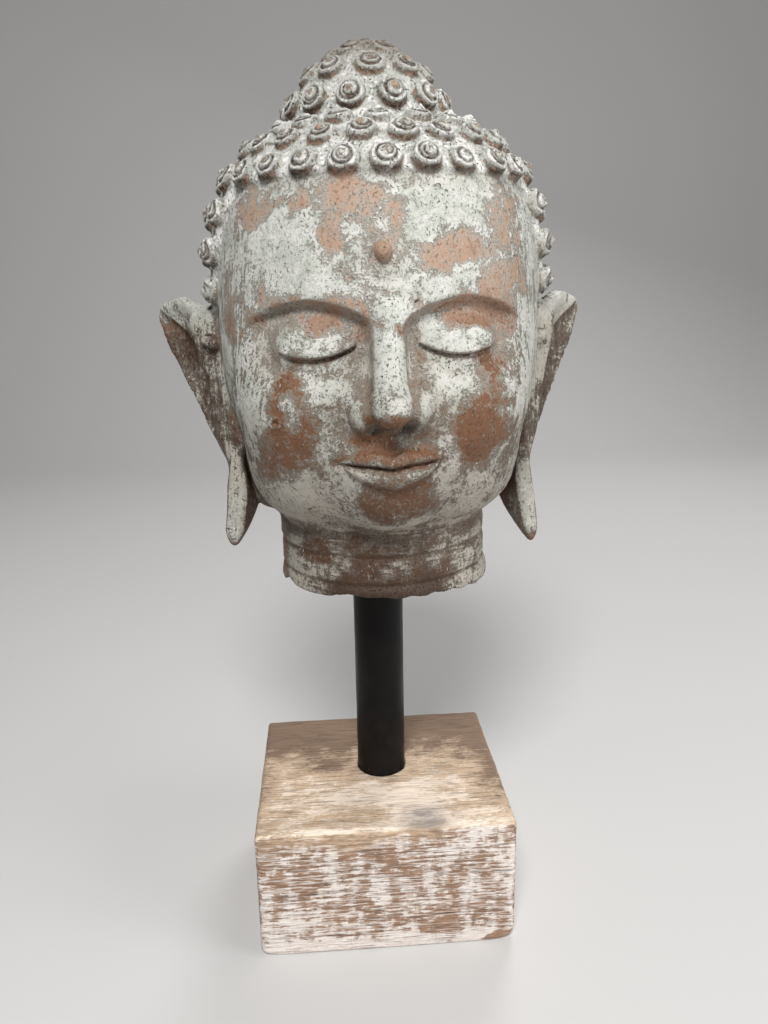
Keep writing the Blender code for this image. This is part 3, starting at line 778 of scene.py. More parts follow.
def give_attributes(obj, followed):
    """Numbers at each vertex, by name, for the finish to read."""
    for name, values in followed.items():
        layer = obj.data.attributes.new(name, "FLOAT", "POINT")
        layer.data.foreach_set("value", np.ascontiguousarray(values, np.float32))


def dress(obj, node, finish):
    """The piece takes its CAD node's place, its body and its finish."""
    obj.data.materials.clear()
    obj.data.materials.append(finish)
    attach(obj, "root")
    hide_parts(node)


# ---- finishes ----


def tint(name, description, default):
    """A colour that a user can change."""
    return FloatVectorProperty(name=name, description=description, subtype="COLOR", default=default)


def lamp_power(name, description, default):
    """The power of a light that a user can change."""
    return FloatProperty(name=name, description=description, default=default, min=0.0, unit="POWER")


def distance(name, description, default):
    """A length that a user can change."""
    return FloatProperty(name=name, description=description, default=default, min=0.0, subtype="DISTANCE")


class Finish:
    """A material and a short way to write its nodes."""

    def __init__(self, name):
        self.material = bpy.data.materials.new(name)
        self.material.use_nodes = True
        self.tree = self.material.node_tree
        self.shader = self.tree.nodes["Principled BSDF"]
        self.place = self.node("ShaderNodeTexCoord").outputs["Object"]

    def node(self, kind, inputs=None, **settings):
        """A new node with these settings, and these values or links at its inputs."""
        made = self.tree.nodes.new(kind)
        for name, value in settings.items():
            setattr(made, name, value)
        for socket, value in (inputs or {}).items():
            self.put(made.inputs[socket], value)
        return made

    def put(self, socket, value):
        """A link where the value is another node's output, or else a plain value."""
        if isinstance(value, bpy.types.NodeSocket):
            self.tree.links.new(value, socket)
        elif hasattr(value, "__len__") and len(value) == 3 and socket.type == "RGBA":
            socket.default_value = (*value, 1.0)
        else:
            socket.default_value = value

    def attribute(self, name):
        """A number given at each vertex."""
        return self.node("ShaderNodeAttribute", attribute_name=name).outputs["Fac"]

    def noise(self, size, detail=4.0, roughness=0.6, stretch=None, distortion=0.0):
        """Noise with lumps of about this size in metres, drawn out where its stretch is under 1."""
        place = self.place
        if stretch:
            place = self.node("ShaderNodeMapping", {"Vector": place, "Scale": stretch}).outputs["Vector"]
        given = {"Vector": place, "Scale": 1.0 / size, "Detail": detail, "Roughness": roughness}
        return self.node("ShaderNodeTexNoise", {**given, "Distortion": distortion}).outputs["Fac"]

    def between(self, value, low, high, start=0.0, end=1.0):
        """start where the value is under low, end where it is over high, smooth between."""
        given = {"Value": value, "From Min": low, "From Max": high, "To Min": start, "To Max": end}
        return self.node("ShaderNodeMapRange", given, interpolation_type="SMOOTHSTEP").outputs["Result"]

    def math(self, operation, a, b):
        """One operation on two numbers or links."""
        return self.node("ShaderNodeMath", {0: a, 1: b}, operation=operation).outputs["Value"]

    def total(self, *terms):
        """Sum of (value, weight) pairs."""
        result = 0.0
        for value, weight in terms:
            given = {0: value, 1: weight, 2: result}
            result = self.node("ShaderNodeMath", given, operation="MULTIPLY_ADD").outputs["Value"]
        return result

    def times(self, *values):
        """Product of the values."""
        result = values[0]
        for value in values[1:]:
            result = self.math("MULTIPLY", result, value)
        return result

    def mix(self, share, a, b):
        """Colour a, or b where the share is 1."""
        return self.node("ShaderNodeMix", {0: share, 6: a, 7: b}, data_type="RGBA").outputs[2]

    def layered(self, colour, *layers):
        """The colour with others laid over it in turn, each a pair of its share and the colour."""
        for share, over in layers:
            colour = self.mix(share, colour, over)
        return colour

    def relief(self, height, depth, previous=None):
        """Bump of this depth in metres."""
        given = {"Distance": depth, "Height": height}
        if previous:
            given["Normal"] = previous
        return self.node("ShaderNodeBump", given).outputs["Normal"]

    def wear(self, colour, roughness, normal=None, gloss=0.5):
        """The material, with these on its shader."""
        given = {"Base Color": colour, "Roughness": roughness, "Specular IOR Level": gloss}
        if normal:
            given["Normal"] = normal
        for name, value in given.items():
            self.put(self.shader.inputs[name], value)
        return self.material


def patinated_bronze(looks):
    """Lime-white and grey-green patina over a thin brown film, rubbed through to copper in patches."""
    f = Finish("patinated_bronze")
    rubbed, deep, proud, brushed = map(f.attribute, ("rubbed", "deep", "proud", "brushed"))
    ringed, middle, groove, wall = map(f.attribute, ("ringed", "middle", "groove", "wall"))
    plaster, grimy, sunk, curled, dusty = map(f.attribute, ("plaster", "grimy", "sunk", "curled", "dusty"))
    broad = f.noise(0.024, 4, 0.6)
    middling = f.noise(0.0065, 6, 0.66, distortion=0.6)
    fine = f.noise(0.0016, 5, 0.7)
    grit = f.noise(0.0006, 3, 0.6)
    upright = f.noise(0.0016, 6, 0.7, (1, 1, 0.10))
    level = f.noise(0.0014, 5, 0.65, (0.16, 0.16, 1))

    def swing(noise, weight):
        """A noise centred on nothing."""
        return f.math("MULTIPLY", f.math("SUBTRACT", noise, 0.5), weight)

    cover = f.total(
        (looks.patina, 1.0),
        (swing(broad, 1.0), 1.0),
        (swing(middling, 1.05), 1.0),
        (swing(fine, 1.05), 1.0),
        (swing(grit, 0.9), 1.0),
        (swing(upright, 0.5), 1.0),
        (swing(upright, 1.6), brushed),
        (swing(level, 1.3), ringed),
        (ringed, -0.10),
        (rubbed, -0.68),
        # thinner patina in hollows: partly grime, partly painted shade
        (deep, -0.15),
        # thicker, paler patina on ridges: a painted highlight
        (proud, 0.10),
        (middle, -0.24),
        # less patina on the curls' downward walls, part of their painted shade
        (wall, -0.30),
        (plaster, 0.52),
        (curled, -0.10),
        (f.times(curled, swing(fine, 1.4)), 1.0),
        # wide hollows browner: partly grime, partly painted shade
        (sunk, -0.20),
    )
    film = f.between(cover, 0.07, 0.27)
    patina = f.between(cover, 0.27, 0.52)
    crust = f.between(f.total((cover, 1.0), (grimy, -0.26)), 0.75, 1.10)

    streaks = f.between(f.total((fine, 0.5), (upright, 0.5)), 0.49, 0.63)
    metal = f.layered(
        looks.copper,
        (f.between(f.total((broad, 0.5), (grimy, 1.2)), 0.22, 0.74), looks.bronze),
        (f.times(streaks, 0.5), looks.tarnish_and_shade),
        (f.between(grimy, 0.6, 1.2), looks.tarnish_and_shade),
    )
    thin = f.times(f.between(grimy, 0.05, 0.6, 0.55, 0.0), f.between(curled, 0.0, 1.0, 1.0, 0.0))
    taupe = f.layered(
        looks.film,
        (f.between(middling, 0.35, 0.65), looks.dust),
        (f.between(grimy, 0.2, 1.2, 0.0, 0.65), looks.tarnish_and_shade),
        (thin, f.mix(0.5, looks.copper, looks.ash)),
    )
    grey = f.layered(
        looks.verdigris,
        (f.between(middling, 0.38, 0.62), looks.ash),
        (f.between(grimy, 0.2, 1.0, 0.0, 0.68), looks.dust),
        (f.times(sunk, f.between(fine, 0.3, 0.6, 0.25, 0.75)), looks.dust),
    )
    cloudy = f.between(f.noise(0.010, 4, 0.6), 0.40, 0.64)
    white = f.mix(f.times(cloudy, 0.55), looks.lime, looks.ash)
    dirt = f.mix(0.4, looks.film, looks.tarnish_and_shade)

    squiggle = f.noise(0.00085, 4, 0.66, (1, 1, 0.7), distortion=0.2)
    peppered = f.between(f.noise(0.011, 3, 0.6), 0.40, 0.60)
    fleck = f.times(f.between(squiggle, 0.585, 0.65), f.total((peppered, 0.75), (0.25, 1.0), (curled, 0.4)))
    crumbs = f.noise(0.0008, 4, 0.65, (1, 1, 0.45))
    strewn = f.between(f.noise(0.006, 3, 0.6), 0.42, 0.62, 0.15, 1.0)
    crumb = f.times(f.between(crumbs, 0.585, 0.66), f.between(rubbed, 1.5, 0.7), strewn)
    scratch = f.between(f.noise(0.0008, 4, 0.65, (0.12, 0.12, 1)), 0.60, 0.67)
    # Hollows go towards dark tarnish: partly grime, partly painted shade
    gully = f.between(f.total((deep, 1.0), (swing(fine, 0.8), 1.0)), 0.50, 0.92)
    colour = f.layered(
        metal,
        (film, taupe),
        (patina, grey),
        (crust, white),
        (f.times(crumb, 0.55), looks.lime),
        (f.times(fleck, f.between(cover, 0.30, 0.55), 0.85), looks.soot),
        (f.times(dusty, f.between(middling, 0.35, 0.6, 0.5, 1.0)), dirt),
        # Painted shade under the curls: their downward walls in groove brown
        (f.times(wall, f.between(fine, 0.35, 0.65, 0.25, 0.85)), looks.groove),
        (f.times(groove, f.between(fine, 0.2, 0.6, 0.75, 1.0)), looks.groove),
        (f.times(scratch, ringed, 0.85), looks.tarnish_and_shade),
        (f.times(gully, 0.88), looks.tarnish_and_shade),
    )

    roughness = f.between(f.total((patina, 0.6), (film, 0.2), (fine, 0.3)), 0.1, 1.0, 0.46, 0.86)
    crusted = f.total((patina, 0.35), (crust, 0.25), (fine, 0.55), (grit, 0.25), (fleck, -0.6), (crumb, 0.2))
    normal = f.relief(crusted, 0.0008)
    normal = f.relief(f.times(upright, brushed), 0.0005, normal)
    return f.wear(colour, roughness, normal, gloss=0.3)


# ---- the head ----


def wear_of(x, y, z):
    """How thin the patina is worn, from the front: over 0 it is rubbed, under 0 it is thick."""
    front = step(-2, -20, y)
    x = x + 7.0 * unevenness(x, y, z, 10.0, 21) + 3.5 * unevenness(x, y, z, 3.6, 22)
    z = z + 9.0 * unevenness(x, y, z, 10.0, 23) + 5.0 * unevenness(x, y, z, 3.6, 24)
    thin = 0.75 * front * bell((z - brow_line(np.abs(x))) / 2.0) * step(48, 40, np.abs(x))
    thick = np.zeros(x.shape)
    for middle_x, middle_z, wide, high, amount in WEAR:
        r = np.hypot((x - middle_x) / wide, (z - middle_z) / high)
        patch = np.abs(amount) * step(1.45, 0.55, r) * (front if abs(middle_x) < 50 else 1.0)
        if amount > 0:
            thin = np.maximum(thin, patch)
        else:
            thick = np.maximum(thick, patch)
    return thin - thick


def wear_of_ears(x, y, z, facing):
    """The same for the ears: a brown film, and paler bands where they face the front."""
    height, along, _, length = ear_place(x, y, z)
    u = np.clip(along / length, 0, 1)
    band = (1 - in_channel(u, height)) * step(1.0, 0.85, u) * step(72, 84, height - np.where(x < 0, 18, 0))
    strip = step(0.45, 0.75, -facing) * step(60, 40, height) * step(16, 23, height)
    return 0.66 - 0.74 * band - 0.98 * strip + 0.5 * unevenness(x, y, 0.4 * z, 6.0, 26)


def hollows_of(field, points, normals, reach):
    """Positive in a hollow and negative on a ridge, judged at this reach from the surface."""
    return 1 - in_batches(field, points + reach * normals) / reach


def head_in_place():
    """From the head's own frame in millimetres to the world."""
    lean = Matrix.Rotation(-math.radians(HEAD_LEAN_DEG), 4, "Y")
    return Matrix.Translation((POST_X + HEAD_ASIDE * MM, POST_Y, HEAD_FOOT)) @ lean @ Matrix.Scale(MM, 4)


def torn_collar(x, y, z):
    """1 at the left of the neck, where the collar is torn to bare metal."""
    torn = step(-36.8, -38.6, x) * step(33, 27, z) * step(4, 8, z)
    return torn * step(9, 1, y + 9 * unevenness(x, y, z, 6.0, 27))


def neck_brown_and_shade(x, y, z):
    """How dark the front of the neck is: partly its own dark brown, partly painted shade under the chin."""
    ragged = unevenness(x, y, z, 7.0, 25)
    brown_and_shade = np.maximum(0.9 * step(17, 9, z + 7 * ragged), 0.68 * step(38, 27, z + 8 * ragged))
    return brown_and_shade * step(34, 14, np.abs(x + 2)) * step(0, -20, y)


def brownness_of(z, torn, on_ear):
    """How much browner the patina is made: more towards the bottom and the neck, and in the middle of the
    ears.
    """
    low = np.interp(z, (0, 6, 12, 34, 52, 74, 98, 118), (1.25, 1.15, 1.0, 0.95, 0.8, 0.55, 0.26, 0.0))
    low = low * (1 - 0.6 * torn)
    return (1 - on_ear) * low + on_ear * np.interp(z, (14, 40, 60, 95, 108), (0.5, 0.75, 1.1, 1.05, 0.4))


def weather(cast, field):
    """What the patina follows: wear, hollows with grime and painted shade, ridges with a painted highlight,
    painted shade under the curls, brushed sides, the neck's rings, curls and dust.
    """
    points = points_of(cast.data)
    normals = slope_of(field, points, 0.4)
    normals /= np.maximum(np.linalg.norm(normals, axis=1, keepdims=True), 1e-6)
    small, large, wide = (hollows_of(field, points, normals, reach) for reach in (1.0, 5.0, 13.0))
    x, y, z = points.T
    on_ear = step(1.2, 0.3, in_batches(ear, points))
    curly = step(0.5, 3.0, hair(y, z)) * (1 - on_ear)
    parts = curly * np.where(z > TOPKNOT_FOOT, topknot.curl_parts(x, y, z), cap.curl_parts(x, y, z))
    on_face = (1 - curly) * (1 - on_ear) * step(34, 40, z)
    # Faces in the hair that look downwards, where shade is painted
    underside_shade = step(-0.25, -0.75, normals[:, 2]) * curly
    plaster = curly * (1 - parts.max(axis=0))
    hollow = (0.9 * small + 0.6 * large) * (1 - 0.8 * plaster)

    urna = 1.1 * step(3.4, 2.2, np.hypot(x - URNA[0], z - URNA[1])) * step(-40, -50, y)
    torn = torn_collar(x, y, z)
    ring = bell((np.hypot(x - BLISTER[0], z - BLISTER[1]) - 1.6) / 0.5) * on_front(y)
    pit = step(1.6, 0.8, np.hypot(x - PIT[0], z - PIT[1])) * on_front(y)
    wear = np.maximum(wear_of(x, y, z), np.maximum(urna, 1.15 * torn)) * (1 - ring) - 0.6 * ring
    wear = (1 - on_ear) * wear + on_ear * wear_of_ears(x, y, z, normals[:, 1])
    give_attributes(cast, {
        "rubbed": wear,
        # Hollows and the front of the neck, darker: partly grime, partly painted shade
        "deep": np.clip(np.maximum(hollow, neck_brown_and_shade(x, y, z)) + pit, 0, 1),
        "curled": curly,
        # Wide hollows such as the eye sockets, browner: partly grime, partly painted shade
        "sunk": (1 - curly) * (1 - on_ear) * step(0.02, 0.30, wide),
        # Paler on ridges and darker in hollows: painted highlight and painted shade
        "proud": np.clip(-1.2 * small - 0.8 * large, -0.5, 1),
        "brushed": np.maximum(on_face * step(34, 47, np.abs(x)), 0.6 * on_ear),
        "ringed": step(36, 28, z),
        "middle": parts[0],
        "groove": parts[1],
        # Outer walls of the curls where they face down: painted shade under the curls
        "wall": parts[2] * step(0.35, -0.45, normals[:, 2]) + 0.6 * underside_shade,
        "plaster": plaster,
        "grimy": (1 - curly) * brownness_of(z, torn, on_ear),
        "dusty": 0.9 * step(176, 196, z),
    })


class HeadLooks(bpy.types.PropertyGroup):
    """What a user would change of the head."""

    grain: FloatProperty(
        name="Grain", description="Spacing of the lattice that the casting is shaped on, in millimetres",
        default=0.8, min=0.6, max=4.0,
    )
    triangles: IntProperty(
        name="Triangles", description="Triangles kept in the casting", default=196000, min=5000, max=199000,
    )
    patina: FloatProperty(
        name="Patina", description="How much patina is left: lower bares more metal",
        default=0.63, min=0.0, max=1.5,
    )
    lime: tint("Lime", "White of the thickest crust", (0.675, 0.655, 0.627))
    verdigris: tint("Verdigris", "Grey-green of the patina", (0.40, 0.415, 0.365))
    ash: tint("Ash", "Pale grey of the patina", (0.55, 0.545, 0.505))
    film: tint("Film", "Brown-grey film where the patina is thin", (0.200, 0.157, 0.117))
    dust: tint("Dust", "Pale brown of dust and rubbed film", (0.268, 0.226, 0.180))
    copper: tint("Copper", "Metal rubbed bare", (0.355, 0.235, 0.168))
    bronze: tint("Bronze", "Metal gone brown", (0.153, 0.069, 0.033))
    # In the hollows and down the front of the neck this dark brown is painted shade as well as tarnish
    tarnish_and_shade: tint("Tarnish", "Dark brown of the recesses", (0.045, 0.026, 0.016))
    # This brown also stands for painted shade under the curls
    groove: tint("Groove", "Brown in the grooves of the curls", (0.065, 0.040, 0.028))
    soot: tint("Soot", "Black of the flecks", (0.05, 0.042, 0.036))


class BUDDHA_OT_head(bpy.types.Operator):
    """Shape the cast head: hair, face, ears and neck, with its patina"""

    bl_idname = "buddha.head"
    bl_label = "Cast Head"

    def execute(self, context):
        looks = context.scene.buddha_head
        spacing = looks.grain
        values = untangled(lattice(head, LATTICE_LOW, LATTICE_HIGH, spacing), 0.05)
        points, quads = largest_part(*surface_net(values, LATTICE_LOW, spacing))
        points = settled(head, points, 1, 0.6 * spacing)
        x, y, z = points.T
        flaws = [np.hypot(x - flaw[0], z - flaw[1]) < FLAW_REACH for flaw in (BLISTER, PIT)]
        small = (y < -20) & (flaws[0] | flaws[1])
        points, faces = quartered(points, quads, (hair(y, z) > 0.5) | small)
        points = settled(weathered_head, points, 2, 0.5 * spacing)
        cast = object_of("cast_head", points, faces.tolist())
        if len(faces) > looks.triangles:
            thin = cast.modifiers.new("thin", "DECIMATE")
            thin.ratio = looks.triangles / len(faces)
            settle_modifiers(cast)
        weather(cast, weathered_head)
        cast.data.transform(head_in_place())
        cast.data.update()
        dress(cast, "bronze_head", patinated_bronze(looks))
        return {"FINISHED"}


# ---- the post ----


def black_paint(looks):
    """Satin black paint on a steel bar, with a few scuffs."""
    f = Finish("black_paint")
    cloud = f.noise(0.012, 4, 0.6)
    fine = f.noise(0.0012, 4, 0.6)
    drawn = f.noise(0.002, 4, 0.6, (1, 1, 0.06))
    scuff = f.between(f.noise(0.0011, 2, 0.5, (1, 1, 0.5)), 0.76, 0.78)
    worn = f.between(cloud, 0.4, 0.7)
    colour = f.layered(looks.paint, (worn, looks.worn_paint), (f.times(scuff, 0.7), looks.scuff))
    roughness = f.between(f.total((cloud, 0.6), (drawn, 0.6)), 0.4, 0.8, 0.30, 0.48)
    normal = f.relief(f.total((fine, 0.4), (drawn, 0.6)), 0.00012)
    return f.wear(colour, roughness, normal, gloss=0.11)


class PostLooks(bpy.types.PropertyGroup):
    """What a user would change of the post."""

    sides: IntProperty(name="Sides", description="Sides round the bar", default=96, min=24, max=256)
    chamfer: distance("Chamfer", "Chamfer at the bar's ends", 0.0006)
    paint: tint("Paint", "The paint", (0.0045, 0.004, 0.004))
    worn_paint: tint("Worn Paint", "The paint where it is thin", (0.009, 0.007, 0.0065))
    scuff: tint("Scuff", "Pale specks on the paint", (0.30, 0.26, 0.22))


def post_rings(looks):
    """Heights and radii up the bar, closer together where it enters the block."""
    low = POST_LOW[2]
    high = POST_HIGH[2]
    top = BLOCK_HIGH[2]
    heights = [low, low + looks.chamfer]
    heights += list(np.linspace(low + 0.004, top - 0.003, 6))
    heights += list(np.linspace(top - 0.002, top + 0.004, 13))
    heights += list(np.linspace(top + 0.006, high - 0.004, 40))
    heights += [high - looks.chamfer, high]
    radii = np.full(len(heights), POST_RADIUS)
    radii[[0, -1]] -= looks.chamfer
    return np.array(heights), radii


class BUDDHA_OT_post(bpy.types.Operator):
    """Turn the painted bar that carries the head, with the bead of paint round its foot"""

    bl_idname = "buddha.post"
    bl_label = "Post"

    def execute(self, context):
        looks = context.scene.buddha_post
        heights, radii = post_rings(looks)
        turn = np.arange(looks.sides) * 2 * np.pi / looks.sides
        z, a = np.meshgrid(heights, turn, indexing="ij")
        x = np.cos(a)
        y = np.sin(a)
        top = BLOCK_HIGH[2]
        lump = np.clip(unevenness(9 * x, 9 * y, z / MM, 2.2, 3) + 0.28, 0, 1)
        bead = 0.9 * MM * lump * bell((z - top - 0.0006) / 0.0011)
        drip = step(top + 0.0065, top + 0.001, z) * step(top - 0.001, top, z)
        drip = 0.8 * MM * bell((a - 5.75) / 0.22) * drip
        shown = step(top, top + 0.003, z) * step(POST_HIGH[2], HEAD_FOOT, z)
        dent = 0.10 * MM * unevenness(9 * x, 9 * y, z / MM, 6.0, 4) * shown
        r = radii[:, None] + np.maximum(bead, drip) + dent
        points = np.stack([POST_X + r * x, POST_Y + r * y, z], -1).reshape(-1, 3)
        n = looks.sides
        start = (np.arange(len(heights) - 1)[:, None] * n + np.arange(n)).ravel()
        side = (start // n) * n + (start + 1) % n
        quads = np.stack([start, side, side + n, start + n], 1).tolist()
        caps = [list(range(n))[::-1], list(range(len(points) - n, len(points)))]
        bar = object_of("steel_post", points, quads + caps)
        bar.data.set_sharp_from_angle(angle=math.radians(40))
        dress(bar, "post", black_paint(looks))
        return {"FINISHED"}


# ---- the block ----


def limed_wood(looks):
    """Old sawn wood: brushed with white lime on the sides, tan on top, dark in the grain and checks."""
    f = Finish("limed_wood")
    top, end, bare, split = map(f.attribute, ("top", "end", "bare", "split"))
    soiled, stained, check = map(f.attribute, ("soiled", "stained", "check"))
    columns = f.noise(0.0070, 3, 0.55, (1, 1, 0.30), distortion=0.2)
    blotch = f.noise(0.0034, 4, 0.6, (0.45, 1, 1))
    dash = f.noise(0.0013, 4, 0.65, (0.26, 1, 1))
    fibre = f.noise(0.0010, 5, 0.7, (0.09, 1, 1))
    hair_line = f.noise(0.00055, 3, 0.6, (0.035, 1, 1))
    broad = f.noise(0.024, 4, 0.6, (0.5, 1, 1))
    mottle = f.noise(0.0055, 5, 0.68, (0.6, 1, 1))
    fine = f.noise(0.0009, 4, 0.65, (0.5, 1, 1))

    loss = f.total(
        (columns, 1.5), (blotch, 0.35), (dash, 1.15), (fibre, 1.2),
        (fine, 0.6), (broad, 0.3), (bare, 0.9),
    )
    gone = f.between(loss, looks.wash - 0.08, looks.wash + 0.22)
    lime = f.mix(f.between(f.total((fibre, 1.0), (fine, 0.5)), 0.62, 0.90), looks.lime, looks.thin_lime)
    wood = f.mix(f.between(f.total((fibre, 1.0), (dash, 0.6)), 0.66, 1.02), looks.wood, looks.dark_wood)
    ridge = f.times(f.between(f.noise(0.0006, 3, 0.6, (0.05, 1, 1)), 0.53, 0.60), 0.6)
    year = f.node(
        "ShaderNodeTexWave",
        {"Vector": f.place, "Scale": 90.0, "Distortion": 4.0, "Detail": 3.0, "Detail Scale": 0.6},
        wave_type="RINGS", rings_direction="X", wave_profile="SAW",
    )
    ring = f.times(f.between(year.outputs["Fac"], 0.45, 0.95), end, 0.6)
    side = f.layered(
        lime,
        (gone, wood),
        (ridge, looks.lime),
        (f.times(stained, f.between(fibre, 0.3, 0.6, 0.35, 0.95)), looks.tan),
        # dark tan in the band: painted shadow under the front edge
        (f.times(stained, f.between(dash, 0.46, 0.60), 0.6), looks.dark_tan),
        (ring, looks.dark_wood),
    )
    patch = f.total((broad, 0.7), (mottle, 0.9), (dash, 0.4), (fibre, 0.5), (fine, 0.5), (bare, 0.5))
    # On the top, darker tan partly paints the head's shadow towards the back
    tan = f.layered(
        looks.pale_wood,
        (f.between(patch, 1.32, 1.52), looks.tan),
        (f.between(patch, 1.54, 1.92), looks.dark_tan),
        (f.times(ridge, f.between(patch, 1.5, 1.9, 0.6, 0.0)), looks.lime),
    )
    lines = f.times(f.between(hair_line, 0.55, 0.65), f.between(broad, 0.28, 0.55))
    colour = f.layered(
        side,
        (top, tan),
        # pale broken wood along the front edge, partly a painted highlight
        (f.times(split, f.between(fine, 0.40, 0.55)), looks.fresh),
        (f.times(lines, f.between(top, 0.0, 1.0, 0.65, 0.30)), looks.dark_wood),
        (f.times(soiled, f.between(mottle, 0.3, 0.6, 0.45, 1.0)), looks.smudge),
        (f.times(check, 0.75), looks.gap),
    )

    relief = f.total(
        (gone, -0.25), (fibre, 0.8), (dash, 0.3), (hair_line, 0.5),
        (fine, 0.3), (lines, -0.5), (ring, -0.5),
    )
    return f.wear(colour, f.between(fibre, 0.3, 0.7, 0.92, 0.78), f.relief(relief, 0.0006))


class BlockLooks(bpy.types.PropertyGroup):
    """What a user would change of the block."""

    edge: distance("Edge", "Radius of the softened upper edges", 0.002)
    foot_edge: distance("Foot Edge", "Radius of the edges underneath", 0.0014)
    wash: FloatProperty(
        name="Wash", description="How much lime is left: lower bares more wood",
        default=2.45, min=0.5, max=4.0,
    )
    lime: tint("Lime", "White lime", (0.765, 0.705, 0.66))
    thin_lime: tint("Thin Lime", "Lime where it is thin", (0.64, 0.55, 0.48))
    wood: tint("Wood", "Bare wood", (0.35, 0.21, 0.13))
    dark_wood: tint("Dark Wood", "Dark grain of the wood", (0.20, 0.12, 0.08))
    pale_wood: tint("Pale Wood", "Pale wood of the top", (0.775, 0.64, 0.515))
    tan: tint("Tan", "Tan of the top", (0.52, 0.375, 0.25))
    # Dark tan also stands for painted shadow: the head's at the back of the top, and the line under the
    # front edge
    dark_tan: tint("Dark Tan", "Stains of the top", (0.215, 0.143, 0.096))
    # Partly a painted highlight along the front edge
    fresh: tint("Fresh", "Broken wood along the edge", (0.84, 0.73, 0.60))
    smudge: tint("Smudge", "Grey smudge on the top", (0.25, 0.225, 0.215))
    gap: tint("Gap", "Inside of the checks", (0.05, 0.035, 0.026))


def box_shell(low, high, counts):
    """Points and quads of a box's surface, in a grid on each face, the edges shared."""
    axes = [np.linspace(low[i], high[i], counts[i] + 1) for i in range(3)]
    size = [n + 1 for n in counts]
    quads = []
    for axis in range(3):
        b = (axis + 1) % 3
        c = (axis + 2) % 3
        grid = np.argwhere(np.ones((counts[b], counts[c])))
        for side in (0, 1):
            ring = []
            for add_b, add_c in ((0, 0), (1, 0), (1, 1), (0, 1)):
                index = np.empty((len(grid), 3), int)
                index[:, axis] = side * counts[axis]
                index[:, b] = grid[:, 0] + add_b
                index[:, c] = grid[:, 1] + add_c
                ring.append(np.ravel_multi_index(tuple(index.T), size))
            quad = np.stack(ring, 1)
            quads.append(quad if side else quad[:, ::-1])
    quads = np.concatenate(quads)
    used, corner = np.unique(quads.ravel(), return_inverse=True)
    index = np.stack(np.unravel_index(used, size), 1)
    points = np.stack([axes[i][index[:, i]] for i in range(3)], 1)
    return points, corner.reshape(quads.shape)


def rounded(points, low, high, radius):
    """Points of the box moved onto its rounded edges, and the way each faces."""
    radius = radius[:, None]
    core = np.clip(points, np.array(low) + radius, np.array(high) - radius)
    away = points - core
    faces = away / np.maximum(np.linalg.norm(away, axis=1, keepdims=True), 1e-9)
    return core + radius * faces, faces


def checks_in(x, z):
    """Depth from 0 to 1 of the checks along the grain of the front and the back, in millimetres."""
    depth = np.zeros(len(x))
    for height, start, end, wide, rise in BLOCK_CHECKS:
        line = height + rise * (x - start) / RISE_RUN + 0.7 * unevenness(x, 0, height, 9.0, 5)
        reach = step(start - 2, start + 3, x) * step(end + 2, end - 6, x)
        depth = np.maximum(depth, reach * bell((z - line) / wide))
    return depth


def edge_radius(points, looks):
    """Radius of the edge near each point; the two lower corners in front are knocked rounder."""
    rise = step(0.0, 0.4, points[:, 2] / BLOCK_HIGH[2])
    radius = looks.foot_edge + (looks.edge - looks.foot_edge) * rise
    x, y, z = points.T / MM
    for side, more in ((HALF_X, 2.4), (-HALF_X, 1.6)):
        radius += more * MM * step(9.0, 1.0, np.sqrt((side - x) ** 2 + (HALF_Y + y) ** 2 + z * z))
    return radius


def aged_and_shaded(x, y):
    """The top is browner towards the back, the sides and the foot of the post, paler before it; towards the
    back this is partly the head's shadow, painted in.
    """
    x = x + 10 * unevenness(x, y, 0, 14.0, 13)
    y = y + 10 * unevenness(x, y, 0, 14.0, 14)
    # Browner towards the back: partly its own colour, partly painted shadow of the head
    back = step(-6, 40, y)
    edges = 0.6 * step(36, 50, np.abs(x + 3)) * step(-34, -20, y)
    dull = bell(np.hypot((x + 24) / 13, (y - 3) / 8))
    pale = bell(np.hypot((x - 4) / 34, (y + 22) / 12))
    return 1.3 * back + edges + 0.6 * dull - 0.5 * pale


